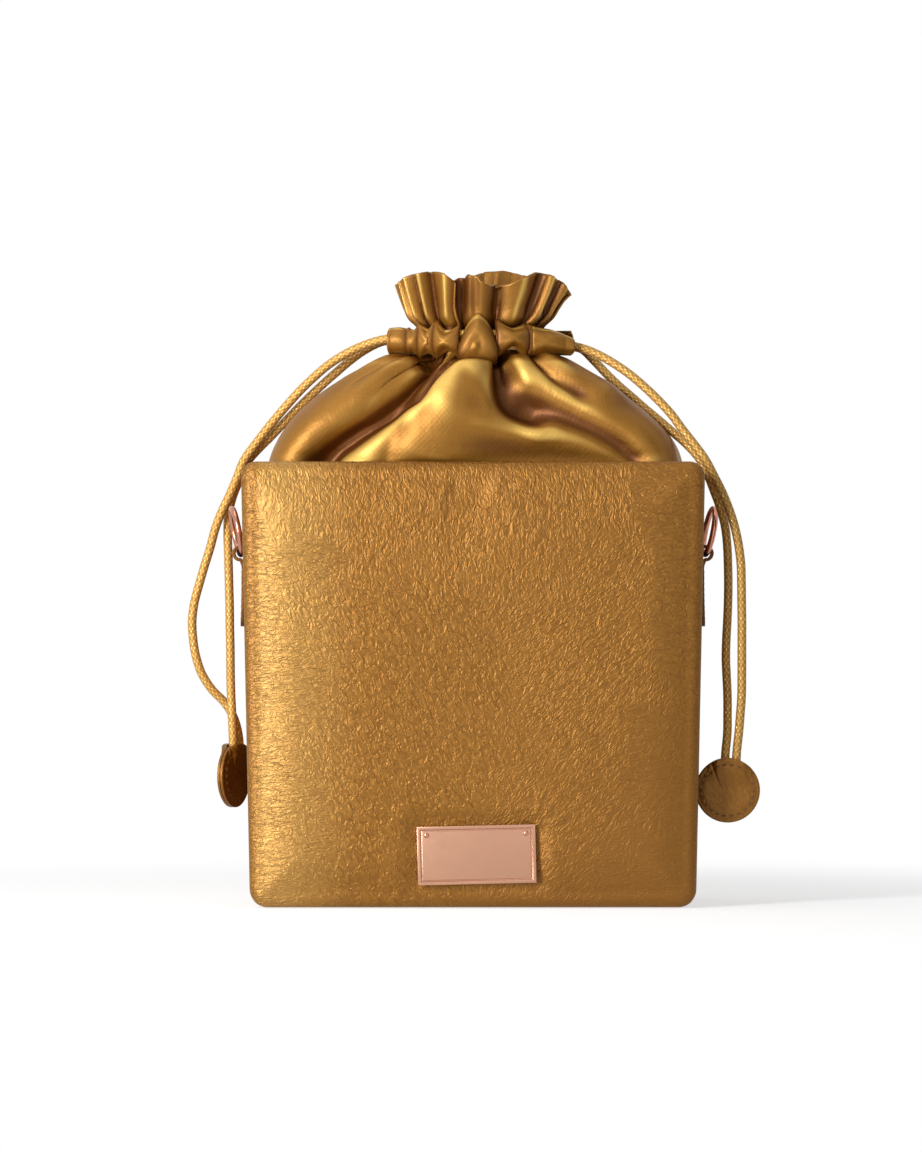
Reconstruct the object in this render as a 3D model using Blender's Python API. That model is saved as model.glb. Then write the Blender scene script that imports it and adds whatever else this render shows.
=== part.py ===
# Potli bag: a stiff leather box bag with a gathered satin pouch, two drawstrings and strap rings.
# Metres, +Z up. The origin is the middle of the flat base, and the front faces -Y.
import math

import bmesh
import bpy
from mathutils import Matrix, Vector

MM = 0.001
CLEARANCE = 0.3 * MM

# Box
BOX_HEIGHT = 174.3 * MM
BOX_TOP_WIDTH = 181.6 * MM
BOX_BOTTOM_WIDTH = 174.4 * MM
BOX_DEPTH = 76.0 * MM
BOTTOM_CORNER = 7.0 * MM
TOP_CORNER = 4.5 * MM
EDGE_ROUND = 5.5 * MM
LEATHER = 1.2 * MM
FOAM = 2.2 * MM
BOARD = 2.0 * MM
WRAP_DEPTH = 12.0 * MM
LIP_DEPTH = 10.0 * MM
SIDE_RIM_DROP = 3.0 * MM
CLOTH = 0.8 * MM
LINING_CORNER = 6.0 * MM
LINING_TOP = 158.0 * MM

# Name plate
PLATE_WIDTH = 46.2 * MM
PLATE_HEIGHT = 22.8 * MM
PLATE_THICKNESS = 1.2 * MM
PLATE_RIM = 1.2 * MM
PLATE_RECESS = 0.35 * MM
PLATE_CENTRE = (1.4 * MM, 20.8 * MM)
PLATE_TILT = math.radians(1.33)
PIN_SPACING = 38.8 * MM
PIN_RISE = 8.0 * MM
PIN_HEAD_RADIUS = 1.05 * MM
PIN_HEAD_HEIGHT = 0.6 * MM
PIN_SHANK_RADIUS = 0.55 * MM
# Shares of the pin head's radius and height where its crown turns in, and of its flat top
PIN_SHOULDER = (0.92, 0.45)
PIN_CROWN = 0.5
PIN_SIDES = 14

# Drawstrings and their path round the neck
CORD_RADIUS = 1.75 * MM
CORD_SPACING = 7.4 * MM
NECK_CENTRE = 3.0 * MM
LOOP_HALF_WIDTH = 27.5 * MM
LOOP_HALF_DEPTH = 16.0 * MM
LEFT_LOOP_HEIGHT = 224.7 * MM
RIGHT_LOOP_HEIGHT = 220.3 * MM
EXIT_TURN = 45.0
EXIT_END = 72.0
EXIT_PUSH = (9.8 * MM, 2.1 * MM)
FAR_SLACK = 1.0 * MM
LOOP_POINTS = 25
# Height of the front and the back strand at the casing's end
LEFT_EXITS = (223.4 * MM, 223.2 * MM)
RIGHT_EXITS = (220.5 * MM, 220.3 * MM)

# Casing strips sewn over the cords, in millimetres and degrees round the neck
CASING_PUFF = 2.2 * MM
CASING_END_STEP = 1.0

# Pleats round the neck: the angle of each valley, from the front centre, right positive
PLEAT_VALLEYS = (
    -90, -70, -50, -34, -15, 11.5, 35, 56, 74, 90,
    109, 130, 150, 170, 190, 211, 231, 251,
)
PLEAT_SAMPLES = 5
PLEAT_DEPTH = 4.0 * MM
SIDE_TUCK = 0.5

# Levels of the pouch sleeve below its neck: height and centre in millimetres, how far its half width
# and half depth have gone from the neck's (0) to the lining's at the rim (1), squareness, pleat depth
SLEEVE_LEVELS = (
    (158.3, 0.0, 0.9989, 0.9930, 8.0, 0.0),
    (166.0, 0.5, 0.9739, 0.8310, 6.5, 0.0),
    (175.0, 1.0, 0.9205, 0.6479, 4.6, 0.0),
    (180.0, 0.9, 0.8920, 0.7042, 4.0, 0.0),
    (185.0, 0.4, 0.8457, 0.7465, 3.6, 0.0),
    (190.0, -0.6, 0.7710, 0.7465, 3.3, 0.1),
    (195.0, -1.0, 0.6855, 0.6901, 3.0, 0.3),
    (199.5, -1.1, 0.5965, 0.6056, 2.8, 0.5),
    (203.5, -1.1, 0.4968, 0.4930, 2.6, 0.9),
    (207.5, -0.8, 0.3793, 0.3662, 2.4, 1.4),
    (211.0, -0.2, 0.2689, 0.2254, 2.2, 2.0),
    (214.2, 1.2, 0.1335, 0.0563, 2.1, 2.8),
)
# Levels of the ruffle: rise above the casing, shift, growth in width and depth, pleat depth
RUFFLE_LEVELS = (
    (3.6, 0.0, 3.2, 1.9, 3.8),
    (8.6, 0.2, 5.6, 3.5, 3.5),
    (14.1, 0.6, 7.8, 5.1, 3.3),
    (19.7, 0.9, 9.7, 6.5, 3.2),
)
TOP_EDGE_WAVE = 1.6 * MM
FOLD_FADE_START = 215.5 * MM
FOLD_FADE_LENGTH = 8.0 * MM

# Large folds on the front of the sleeve: rise, width, and the line as (x, z), in millimetres
FOLDS = (
    (3.0, 6.0, ((-26.5, 217.2), (-33.5, 213.0), (-44.5, 203.6), (-57.7, 193.0), (-65.9, 184.9),
                (-72.9, 176.7))),
    (-6.0, 6.5, ((-15.6, 214.5), (-21.0, 206.3), (-33.5, 195.0), (-44.5, 187.6), (-55.4, 179.4))),
    (1.5, 3.5, ((-10.1, 215.7), (-23.8, 196.2))),
    (3.5, 5.5, ((-4.3, 211.0), (-11.7, 205.5), (-19.9, 197.7), (-28.1, 193.0), (-39.0, 184.9),
                (-53.0, 174.7))),
    (3.0, 14.0, ((-7.0, 207.9), (-9.0, 194.2), (-12.9, 178.6))),
    (-6.0, 5.5, ((8.6, 212.9), (9.4, 202.0), (16.4, 195.0), (26.1, 190.3))),
    (4.5, 6.5, ((15.2, 220.0), (21.8, 208.7), (33.9, 201.2), (49.1, 191.9), (61.6, 183.7),
                (68.6, 175.1))),
    (-2.5, 5.5, ((28.0, 193.4), (45.6, 187.2), (59.3, 178.6))),
    (2.0, 5.5, ((26.9, 186.8), (42.9, 183.3), (55.4, 177.5))),
    (2.0, 4.5, ((25.7, 216.1), (37.0, 207.9))),
)
FOLDS_END = (166.0 * MM, 178.0 * MM)
FOLDS_SIDE = 9.0 * MM

# Stoppers: two round leather layers stitched over the cord ends
STOPPER_RADIUS = 12.7 * MM
STOPPER_LAYER = 1.7 * MM
STOPPER_EDGE = 0.4 * MM
CORD_SEAT = 5.0 * MM
BULGE_SIDE = 2.5 * MM
BULGE_RISE = 1.25 * MM
BULGE_END = 6.0 * MM
LEFT_STOPPER = (-95.2 * MM, 13.0 * MM, 50.1 * MM)
LEFT_STOPPER_TURN = math.radians(66.0)
LEFT_SEATS = (5.3 * MM, -0.6 * MM)
RIGHT_STOPPER = (100.2 * MM, -16.5 * MM, 45.2 * MM)
RIGHT_STOPPER_TURN = math.radians(0.0)
RIGHT_SEATS = (3.3 * MM, -1.2 * MM)

# Free stretches of the drawstrings in millimetres, from the stopper up to the casing's end
LEFT_OUTER = (
    (-93.6, 18.4, 66.5), (-95.3, 18.6, 72.5), (-99.4, 18.2, 79.6), (-103.4, 17.6, 83.3),
    (-107.4, 17.0, 89.1), (-110.6, 16.6, 98.3), (-111.9, 16.4, 108.7), (-111.1, 16.4, 118.6),
    (-108.2, 16.4, 129.5), (-104.7, 16.4, 140.8), (-101.8, 16.3, 151.3), (-97.3, 16.0, 161.1),
    (-93.6, 15.2, 169.6), (-91.2, 14.4, 175.6), (-85.4, 12.6, 183.5), (-76.4, 9.6, 194.6),
    (-65.9, 6.0, 205.9), (-54.8, 1.8, 214.9), (-43.7, -2.6, 220.6),
)
LEFT_INNER = (
    (-95.6, 12.4, 69.0), (-96.1, 13.0, 78.8), (-96.5, 15.0, 87.8), (-96.7, 18.0, 94.8),
    (-97.0, 19.6, 111.2), (-97.4, 20.4, 126.0), (-97.7, 20.6, 138.5), (-97.9, 20.6, 148.6),
    (-97.2, 20.4, 157.0), (-94.3, 19.8, 165.0), (-91.2, 18.8, 173.0), (-88.2, 17.8, 177.6),
    (-84.0, 16.8, 181.6), (-73.4, 14.2, 192.5), (-65.9, 12.6, 200.0), (-58.5, 10.2, 206.8),
    (-49.4, 7.8, 214.7), (-42.4, 6.4, 219.6), (-37.6, 6.3, 222.0),
)
RIGHT_OUTER = (
    (104.2, -16.5, 63.2), (105.2, -16.6, 74.3), (105.8, -16.8, 85.5), (105.8, -17.0, 94.8),
    (105.8, -17.4, 111.2), (105.6, -17.8, 126.1), (105.2, -18.0, 136.0), (103.7, -18.1, 145.9),
    (101.2, -18.1, 154.4), (97.8, -18.0, 162.9), (92.4, -17.4, 173.4), (89.6, -17.0, 178.2),
    (84.6, -16.0, 184.3), (76.8, -14.2, 194.7), (65.6, -11.6, 205.9), (55.4, -8.8, 213.6),
    (47.0, -6.8, 218.0),
)
RIGHT_INNER = (
    (99.9, -16.4, 64.0), (100.2, -16.0, 74.3), (100.1, -15.4, 85.5), (99.6, -14.8, 95.2),
    (100.0, -14.2, 108.7), (100.6, -13.9, 121.1), (100.5, -13.6, 133.5), (100.0, -13.4, 143.5),
    (98.9, -13.2, 151.3), (96.6, -13.0, 158.8), (93.4, -12.6, 167.2), (90.2, -11.8, 174.2),
    (85.8, -10.6, 180.0), (76.8, -7.4, 188.2), (66.0, -3.0, 197.6), (56.0, 1.6, 206.6),
    (49.2, 4.8, 213.8), (43.8, 6.4, 219.4),
)

# Strap rings in the loops of the side tabs
RING_RADIUS = 9.2 * MM
RING_WIRE = 1.05 * MM
RING_HEIGHT = 138.5 * MM
RING_LEAN = math.radians(11.0)
RING_TURN = math.radians(8.0)
TAB_WIDTH = 7.5 * MM
TAB_LEAF = 0.95 * MM
TAB_LENGTH = 29.0 * MM
TAB_END_ROUND = 3.2 * MM
LOOP_INNER = 2.2 * MM

# Sizes that follow from the ones above
COVER_INSET = LEATHER + CLEARANCE
GUSSET_INSET = COVER_INSET
GUSSET_INNER = GUSSET_INSET + LEATHER
SIDE_BOARD_INSET = GUSSET_INNER + CLEARANCE
SIDE_LIP_INSET = SIDE_BOARD_INSET + BOARD + CLEARANCE
LINING_INSET = SIDE_LIP_INSET + LEATHER + CLEARANCE
FRONT = BOX_DEPTH / 2
PAD_FRONT = FRONT - COVER_INSET
BOARD_FRONT = PAD_FRONT - FOAM - CLEARANCE
LIP_FRONT = BOARD_FRONT - BOARD - CLEARANCE
LINING_FRONT = LIP_FRONT - LEATHER - CLEARANCE
GUSSET_HALF_DEPTH = LINING_FRONT
INNER_FLOOR = GUSSET_INNER + CLEARANCE + BOARD + CLEARANCE
SIDE_RIM = BOX_HEIGHT - SIDE_RIM_DROP
CASING_BOTTOM = RIGHT_LOOP_HEIGHT - CORD_RADIUS - CLEARANCE - CLOTH
CASING_TOP = LEFT_LOOP_HEIGHT + CORD_RADIUS + CLEARANCE + CLOTH
NECK_INSET = CORD_RADIUS + CLEARANCE


def half_width(height):
    taper = (BOX_TOP_WIDTH - BOX_BOTTOM_WIDTH) / 2
    return BOX_BOTTOM_WIDTH / 2 + taper * height / BOX_HEIGHT


def material(name, colour, roughness, metallic):
    found = bpy.data.materials.get(name)
    if found:
        return found
    made = bpy.data.materials.new(name)
    made.use_nodes = True
    shader = made.node_tree.nodes["Principled BSDF"]
    shader.inputs["Base Color"].default_value = (*colour, 1.0)
    shader.inputs["Roughness"].default_value = roughness
    shader.inputs["Metallic"].default_value = metallic
    made.diffuse_color = (*colour, 1.0)
    return made


def gold_leather():
    return material("gold_leather", (0.42, 0.21, 0.07), 0.42, 0.6)


def gold_satin():
    return material("gold_satin", (0.55, 0.32, 0.09), 0.35, 0.5)


def gold_cord():
    return material("gold_cord", (0.45, 0.27, 0.06), 0.55, 0.3)


def rose_gold():
    return material("rose_gold", (0.75, 0.42, 0.30), 0.25, 1.0)


def grey_board():
    return material("grey_board", (0.35, 0.33, 0.30), 0.9, 0.0)


def white_foam():
    return material("white_foam", (0.8, 0.78, 0.72), 0.9, 0.0)


def add_object(name, mesh_builder, look, smooth_angle=35.0):
    bmesh.ops.recalc_face_normals(mesh_builder, faces=mesh_builder.faces)
    mesh = bpy.data.meshes.new(name)
    mesh_builder.to_mesh(mesh)
    mesh_builder.free()
    mesh.shade_smooth()
    mesh.set_sharp_from_angle(angle=math.radians(smooth_angle))
    mesh.materials.append(look)
    made = bpy.data.objects.new(name, mesh)
    bpy.context.scene.collection.objects.link(made)
    return made


def boolean(target, tool, operation):
    # The tool is used up: the target keeps the evaluated result as its own mesh
    step = target.modifiers.new(operation, "BOOLEAN")
    step.object = tool
    step.operation = operation
    step.solver = "EXACT"
    bpy.context.view_layer.update()
    evaluated = target.evaluated_get(bpy.context.evaluated_depsgraph_get())
    result = bpy.data.meshes.new_from_object(evaluated)
    target.modifiers.remove(step)
    target.data = result
    bpy.data.objects.remove(tool)
    return target


def ring_solid(rings):
    # Closed rings of equal length joined in turn, with the first and last one capped
    made = bmesh.new()
    loops = [[made.verts.new(point) for point in ring] for ring in rings]
    for near, far in zip(loops, loops[1:]):
        for i in range(len(near)):
            j = (i + 1) % len(near)
            made.faces.new((near[i], near[j], far[j], far[i]))
    made.faces.new(loops[0])
    made.faces.new(loops[-1])
    return made


def prism(outline, start, end):
    # An outline of (x, z) points carried along Y
    return ring_solid([[(x, y, z) for x, z in outline] for y in (start, end)])


def box(low, high):
    made = bmesh.new()
    bmesh.ops.create_cube(made, size=1.0)
    size = Vector(high) - Vector(low)
    bmesh.ops.scale(made, vec=size, verts=made.verts)
    bmesh.ops.translate(made, vec=(Vector(high) + Vector(low)) / 2, verts=made.verts)
    return made


def rod(radius, start, end, axis="Y", segments=12):
    made = bmesh.new()
    turn = Matrix.Rotation(math.radians(90), 4, "X") if axis == "Y" else Matrix.Identity(4)
    bmesh.ops.create_cone(
        made, cap_ends=True, segments=segments, radius1=radius, radius2=radius,
        depth=end - start, matrix=turn,
    )
    middle = (start + end) / 2
    offset = (0, middle, 0) if axis == "Y" else (0, 0, middle)
    bmesh.ops.translate(made, vec=offset, verts=made.verts)
    return made


def arc(centre, radius, start, end, steps):
    # Points on an arc, angles in degrees
    points = []
    for i in range(steps + 1):
        angle = math.radians(start + (end - start) * i / steps)
        points.append((centre[0] + radius * math.cos(angle), centre[1] + radius * math.sin(angle)))
    return points


def panel_outline(inset):
    # The box seen from the front, drawn in by an inset, counterclockwise from the bottom right
    low_round = max(BOTTOM_CORNER - inset, CLEARANCE)
    top_round = max(TOP_CORNER - inset, CLEARANCE)
    low = inset + low_round
    top = BOX_HEIGHT - inset - top_round
    low_x = half_width(low) - inset - low_round
    top_x = half_width(top) - inset - top_round
    points = arc((low_x, low), low_round, -90, 0, 6)
    points += arc((top_x, top), top_round, 0, 90, 4)
    points += arc((-top_x, top), top_round, 90, 180, 4)
    points += arc((-low_x, low), low_round, 180, 270, 6)
    return points


def panel_ring(inset, depth, side):
    return [(x, side * depth, z) for x, z in panel_outline(inset)]


def rounded_rings(radius, steps, side):
    # Rings round the front edge, about the line that lies EDGE_ROUND behind face and side
    rings = []
    for i in range(steps + 1):
        angle = math.radians(90.0 * i / steps)
        inset = EDGE_ROUND - radius * math.sin(angle)
        depth = FRONT - EDGE_ROUND + radius * math.cos(angle)
        rings.append(panel_ring(inset, depth, side))
    return rings


def cover(name, side):
    # Leather face with rounded edges, wrapped round the sides and base and over the top rim
    wrap_end = FRONT - WRAP_DEPTH
    rings = rounded_rings(EDGE_ROUND, 4, side)
    rings += [panel_ring(0.0, wrap_end, side), panel_ring(LEATHER, wrap_end, side)]
    rings += reversed(rounded_rings(EDGE_ROUND - LEATHER, 4, side))
    made = add_object(name, ring_solid(rings), gold_leather())
    lip_back = LIP_FRONT - LEATHER
    inner_x = half_width(BOX_HEIGHT) - COVER_INSET
    ends = sorted((side * lip_back, side * (wrap_end - WRAP_DEPTH)))
    gap_box = box(
        (-inner_x, ends[0], BOX_HEIGHT - LIP_DEPTH), (inner_x, ends[1], BOX_HEIGHT + LIP_DEPTH)
    )
    boolean(made, add_object("rim_cut", gap_box, gold_leather()), "DIFFERENCE")
    lip_low = BOX_HEIGHT - LIP_DEPTH
    lip_x = half_width(lip_low) - SIDE_LIP_INSET
    ends = sorted((side * lip_back, side * LIP_FRONT))
    lip = box((-lip_x, ends[0], lip_low), (lip_x, ends[1], BOX_HEIGHT - LEATHER / 2))
    return boolean(made, add_object("lip", lip, gold_leather()), "UNION")


def gusset():
    # One leather band down a side, under the base and up the other, its ends turned over the rim
    low = BOTTOM_CORNER
    low_x = half_width(low) - BOTTOM_CORNER
    outer = arc((low_x, low), BOTTOM_CORNER - GUSSET_INSET, -90, 0, 6)
    inner = arc((low_x, low), BOTTOM_CORNER - GUSSET_INNER, 0, -90, 6)
    lip_low = SIDE_RIM - LIP_DEPTH
    under = SIDE_RIM - LEATHER
    lip_inner = SIDE_LIP_INSET + LEATHER
    turned = [
        (half_width(SIDE_RIM) - GUSSET_INSET, SIDE_RIM),
        (half_width(SIDE_RIM) - lip_inner, SIDE_RIM),
        (half_width(lip_low) - lip_inner, lip_low),
        (half_width(lip_low) - SIDE_LIP_INSET, lip_low),
        (half_width(under) - SIDE_LIP_INSET, under),
        (half_width(under) - GUSSET_INNER, under),
    ]
    right = outer + turned + inner
    left = [(-x, z) for x, z in reversed(right)]
    made = prism(right + left, -GUSSET_HALF_DEPTH, GUSSET_HALF_DEPTH)
    return add_object("gusset", made, gold_leather())


def base_panel():
    half_x = half_width(BOTTOM_CORNER) - BOTTOM_CORNER
    half_y = FRONT - WRAP_DEPTH - CLEARANCE
    return add_object(
        "base_panel", box((-half_x, -half_y, 0), (half_x, half_y, LEATHER)), gold_leather()
    )


def pad(name, side):
    # Foam under the cover's face, its front edge rounded with the cover
    radius = EDGE_ROUND - LEATHER - CLEARANCE
    last = math.degrees(math.acos((radius - FOAM) / radius))
    rings = []
    for i in range(4):
        angle = math.radians(last * i / 3)
        depth = FRONT - EDGE_ROUND + radius * math.cos(angle)
        rings.append(panel_ring(EDGE_ROUND - radius * math.sin(angle), depth, side))
    return add_object(name, ring_solid(rings), white_foam())


def face_board(name, side):
    inset = COVER_INSET + CLEARANCE
    rings = [panel_ring(inset, depth, side) for depth in (BOARD_FRONT, BOARD_FRONT - BOARD)]
    return add_object(name, ring_solid(rings), grey_board())


def side_board(name, side):
    low = BOTTOM_CORNER + CLEARANCE
    top = SIDE_RIM - LEATHER - CLEARANCE
    outer = SIDE_BOARD_INSET
    inner = SIDE_BOARD_INSET + BOARD
    outline = [
        (side * (half_width(low) - inner), low),
        (side * (half_width(low) - outer), low),
        (side * (half_width(top) - outer), top),
        (side * (half_width(top) - inner), top),
    ]
    return add_object(name, prism(outline, -LIP_FRONT, LIP_FRONT), grey_board())


def base_board():
    half_x = half_width(BOTTOM_CORNER) - BOTTOM_CORNER - CLEARANCE
    low = GUSSET_INNER + CLEARANCE
    made = box((-half_x, -LIP_FRONT, low), (half_x, LIP_FRONT, low + BOARD))
    return add_object("base_board", made, grey_board())


def lining_ring(height, inset):
    half_x = half_width(height) - LINING_INSET - inset
    half_y = LINING_FRONT - inset
    corner = LINING_CORNER - inset
    points = []
    for sx, sy, start in ((1, -1, -90), (1, 1, 0), (-1, 1, 90), (-1, -1, 180)):
        centre = (sx * (half_x - corner), sy * (half_y - corner))
        points += arc(centre, corner, start, start + 90, 4)
    return [(x, y, height) for x, y in points]


def lining():
    # Cloth box that lines the walls, open at the top
    floor = INNER_FLOOR
    rings = [
        lining_ring(floor, 0.0), lining_ring(LINING_TOP, 0.0),
        lining_ring(LINING_TOP, CLOTH), lining_ring(floor + CLOTH, CLOTH),
    ]
    return add_object("lining", ring_solid(rings), gold_satin())


def section(half_x, half_y, squareness, fractions):
    # Points at the given shares of a superellipse's girth, from the back, left side first
    steps = 720
    dense = []
    for i in range(steps + 1):
        angle = math.radians(-180 + 360 * i / steps)
        across = (abs(math.sin(angle)) / half_x) ** squareness
        along = (abs(math.cos(angle)) / half_y) ** squareness
        reach = (across + along) ** (-1 / squareness)
        dense.append((reach * math.sin(angle), -reach * math.cos(angle)))
    lengths = [0.0]
    for near, far in zip(dense, dense[1:]):
        lengths.append(lengths[-1] + math.dist(near, far))
    points = []
    k = 0
    for share in fractions:
        target = share * lengths[-1]
        while k < len(dense) - 2 and lengths[k + 1] < target:
            k += 1
        part = (target - lengths[k]) / (lengths[k + 1] - lengths[k])
        near, far = dense[k], dense[k + 1]
        points.append((near[0] + (far[0] - near[0]) * part, near[1] + (far[1] - near[1]) * part))
    return points


def pleat_positions():
    # Angle and place in its pleat (0 in a valley, 0.5 on a crest) of each point round the neck
    valleys = list(PLEAT_VALLEYS) + [PLEAT_VALLEYS[0] + 360]
    places = []
    for near, far in zip(valleys, valleys[1:]):
        for i in range(PLEAT_SAMPLES):
            part = i / PLEAT_SAMPLES
            angle = near + (far - near) * part
            places.append((angle - 360 if angle > 180 else angle, part))
    return sorted(places)


def pleat_place(angle):
    # The place in its pleat of any angle
    valleys = list(PLEAT_VALLEYS) + [PLEAT_VALLEYS[0] + 360]
    turned = angle if angle >= valleys[0] else angle + 360
    for near, far in zip(valleys, valleys[1:]):
        if near <= turned < far:
            return (turned - near) / (far - near)
    return 0.0


def puff(part):
    return max(math.sin(math.pi * part), 0.0) ** 0.6


def angle_share(angle):
    # Share of the neck's girth at an angle, from the back through the left side
    steps = 720
    total = 0.0
    reached = 0.0
    last = None
    for i in range(steps + 1):
        turn = math.radians(-180 + 360 * i / steps)
        point = (LOOP_HALF_WIDTH * math.sin(turn), -LOOP_HALF_DEPTH * math.cos(turn))
        if last is not None:
            total += math.dist(point, last)
        if math.degrees(turn) <= angle + 1e-6:
            reached = total
        last = point
    return reached / total


def distance_to_line(x, z, line):
    best = None
    for (ax, az), (bx, bz) in zip(line, line[1:]):
        run = (bx - ax) ** 2 + (bz - az) ** 2
        part = min(max(((x - ax) * (bx - ax) + (z - az) * (bz - az)) / run, 0.0), 1.0)
        gap = math.dist((x, z), (ax + (bx - ax) * part, az + (bz - az) * part))
        best = gap if best is None else min(best, gap)
    return best


def fold_height(point):
    # The folds drawn for the front; the back carries them mirrored
    x = point.x if point.y < 0 else 2 * NECK_CENTRE - point.x
    rise = 0.0
    for height, width, line in FOLDS:
        gap = distance_to_line(x / MM, point.z / MM, line)
        rise += height * MM * math.exp(-((gap / width) ** 2))
    below_neck = min(max((FOLD_FADE_START - point.z) / FOLD_FADE_LENGTH, 0.0), 1.0)
    above_rim = min(max((point.z - FOLDS_END[0]) / (FOLDS_END[1] - FOLDS_END[0]), 0.0), 1.0)
    off_side = min(abs(point.y) / FOLDS_SIDE, 1.0)
    return rise * below_neck * above_rim * off_side


def sleeve_ring(level, places, shares):
    # One level of the sleeve below its neck
    height, centre, wide, deep, squareness, depth = level
    half_x = LOOP_HALF_WIDTH + wide * (half_width(LINING_TOP) - LINING_INSET - LOOP_HALF_WIDTH)
    half_y = LOOP_HALF_DEPTH + deep * (LINING_FRONT - LOOP_HALF_DEPTH)
    points = []
    for (x, y), (_, part) in zip(section(half_x, half_y, squareness, shares), places):
        away = Vector((x / half_x ** 2, y / half_y ** 2, 0)).normalized()
        pull = away * depth * MM * (1 - puff(part))
        points.append((x + centre * MM - pull.x, y - pull.y, height * MM))
    return points


def neck_ring(height, places, growth=(0.0, 0.0), depth=PLEAT_DEPTH, shift=0.0, wave=0.0):
    # One level of the gathered neck, just inside the cords, or of the ruffle above it
    points = []
    for angle, part in places:
        x, y = loop_point(angle, -NECK_INSET - tuck(angle, part, depth))
        turn = math.radians(angle)
        x += growth[0] * math.sin(turn) + shift
        y -= growth[1] * math.cos(turn)
        points.append((x, y, height + wave * (puff(part) - 1)))
    return points


def pouch_sleeve():
    # Satin tube sewn in the rim, gathered at the neck, with a ruffle above the drawstrings
    places = pleat_positions()
    shares = [angle_share(angle) for angle, _ in places]
    rings = [sleeve_ring(level, places, shares) for level in SLEEVE_LEVELS]
    middle = (CASING_BOTTOM + CASING_TOP) / 2
    for height in (CASING_BOTTOM - CLOTH, CASING_BOTTOM + CLOTH, middle, CASING_TOP + CLEARANCE):
        rings.append(neck_ring(height, places))
    for level in RUFFLE_LEVELS:
        rise, shift, wider, deeper, depth = (value * MM for value in level)
        wave = TOP_EDGE_WAVE if level == RUFFLE_LEVELS[-1] else 0.0
        rings.append(
            neck_ring(CASING_TOP + rise, places, (wider, deeper), depth, shift, wave)
        )
    made = bmesh.new()
    loops = [[made.verts.new(point) for point in ring] for ring in rings]
    for near, far in zip(loops, loops[1:]):
        for i in range(len(near)):
            j = (i + 1) % len(near)
            made.faces.new((near[i], near[j], far[j], far[i]))
    bmesh.ops.recalc_face_normals(made, faces=made.faces)
    made.normal_update()
    outward = sum(v.normal.dot(Vector((v.co.x, v.co.y, 0))) for v in made.verts)
    if outward < 0:
        bmesh.ops.reverse_faces(made, faces=made.faces)
        made.normal_update()
    moves = [vert.normal * fold_height(vert.co) for vert in made.verts]
    for vert, move in zip(made.verts, moves):
        vert.co += move
    mesh = bpy.data.meshes.new("pouch_sleeve")
    made.to_mesh(mesh)
    made.free()
    mesh.shade_smooth()
    mesh.materials.append(gold_satin())
    sleeve = bpy.data.objects.new("pouch_sleeve", mesh)
    bpy.context.scene.collection.objects.link(sleeve)
    thick = sleeve.modifiers.new("cloth", "SOLIDIFY")
    thick.thickness = CLOTH
    thick.offset = -1.0
    thick.use_even_offset = False
    return sleeve


def tuck(angle, part, depth=PLEAT_DEPTH):
    # How far the cloth goes in at a place in its pleat, less at the narrow ends of the neck
    facing = abs(math.cos(math.radians(angle)))
    return depth * (SIDE_TUCK + (1 - SIDE_TUCK) * facing) * (1 - puff(part))


def path_point(angle, exits):
    # The cords' path round the neck; at its ends it runs straight out to the side
    turn = math.radians(angle)
    x = LOOP_HALF_WIDTH * math.sin(turn)
    y = -LOOP_HALF_DEPTH * math.cos(turn)
    from_face = math.degrees(math.asin(min(abs(math.sin(turn)), 1.0)))
    if exits and from_face > EXIT_TURN:
        part = (from_face - EXIT_TURN) / (EXIT_END - EXIT_TURN)
        x += math.copysign(EXIT_PUSH[0] * part ** 1.5, x)
        y += math.copysign(EXIT_PUSH[1] * part, y)
    return Vector((x + NECK_CENTRE, y))


def loop_point(angle, away=0.0, exits=False):
    # A point beside that path, set off square to it
    step = 0.25
    run = path_point(angle + step, exits) - path_point(angle - step, exits)
    outward = Vector((run.y, -run.x)).normalized()
    point = path_point(angle, exits) + outward * away
    return point.x, point.y


def casing(name, face):
    # A channel strip over both cords, sewn to the sleeve above and below them
    inner_wall = CORD_RADIUS + CLEARANCE
    middle = (CASING_BOTTOM + CASING_TOP) / 2
    quarter = (CASING_TOP - CASING_BOTTOM) / 4
    wall_edge = inner_wall + CLOTH
    centre = 0.0 if face == "front" else 180.0
    offsets = [(angle - centre + 180) % 360 - 180 for angle, _ in pleat_positions()]
    offsets = sorted(offset for offset in offsets if abs(offset) < EXIT_END - CASING_END_STEP)
    rings = []
    for offset in [-EXIT_END] + offsets + [EXIT_END]:
        angle = centre + offset
        from_face = abs(offset)
        part = pleat_place(angle)
        swell = wall_edge + CASING_PUFF * puff(part)
        flange = -NECK_INSET + CLEARANCE
        if from_face <= EXIT_TURN:
            flange -= tuck(angle, part)
        profile = (
            (flange, CASING_BOTTOM), (inner_wall, CASING_BOTTOM),
            (wall_edge, CASING_BOTTOM + CLOTH), (swell, middle - quarter),
            (swell, middle + quarter), (wall_edge, CASING_TOP - CLOTH),
            (inner_wall, CASING_TOP), (flange, CASING_TOP),
            (flange, CASING_TOP - CLOTH), (inner_wall, CASING_TOP - CLOTH),
            (inner_wall, CASING_BOTTOM + CLOTH), (flange, CASING_BOTTOM + CLOTH),
        )
        rings.append([(*loop_point(angle, away, True), z) for away, z in profile])
    return add_object(name, ring_solid(rings), gold_satin(), 60.0)


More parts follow.
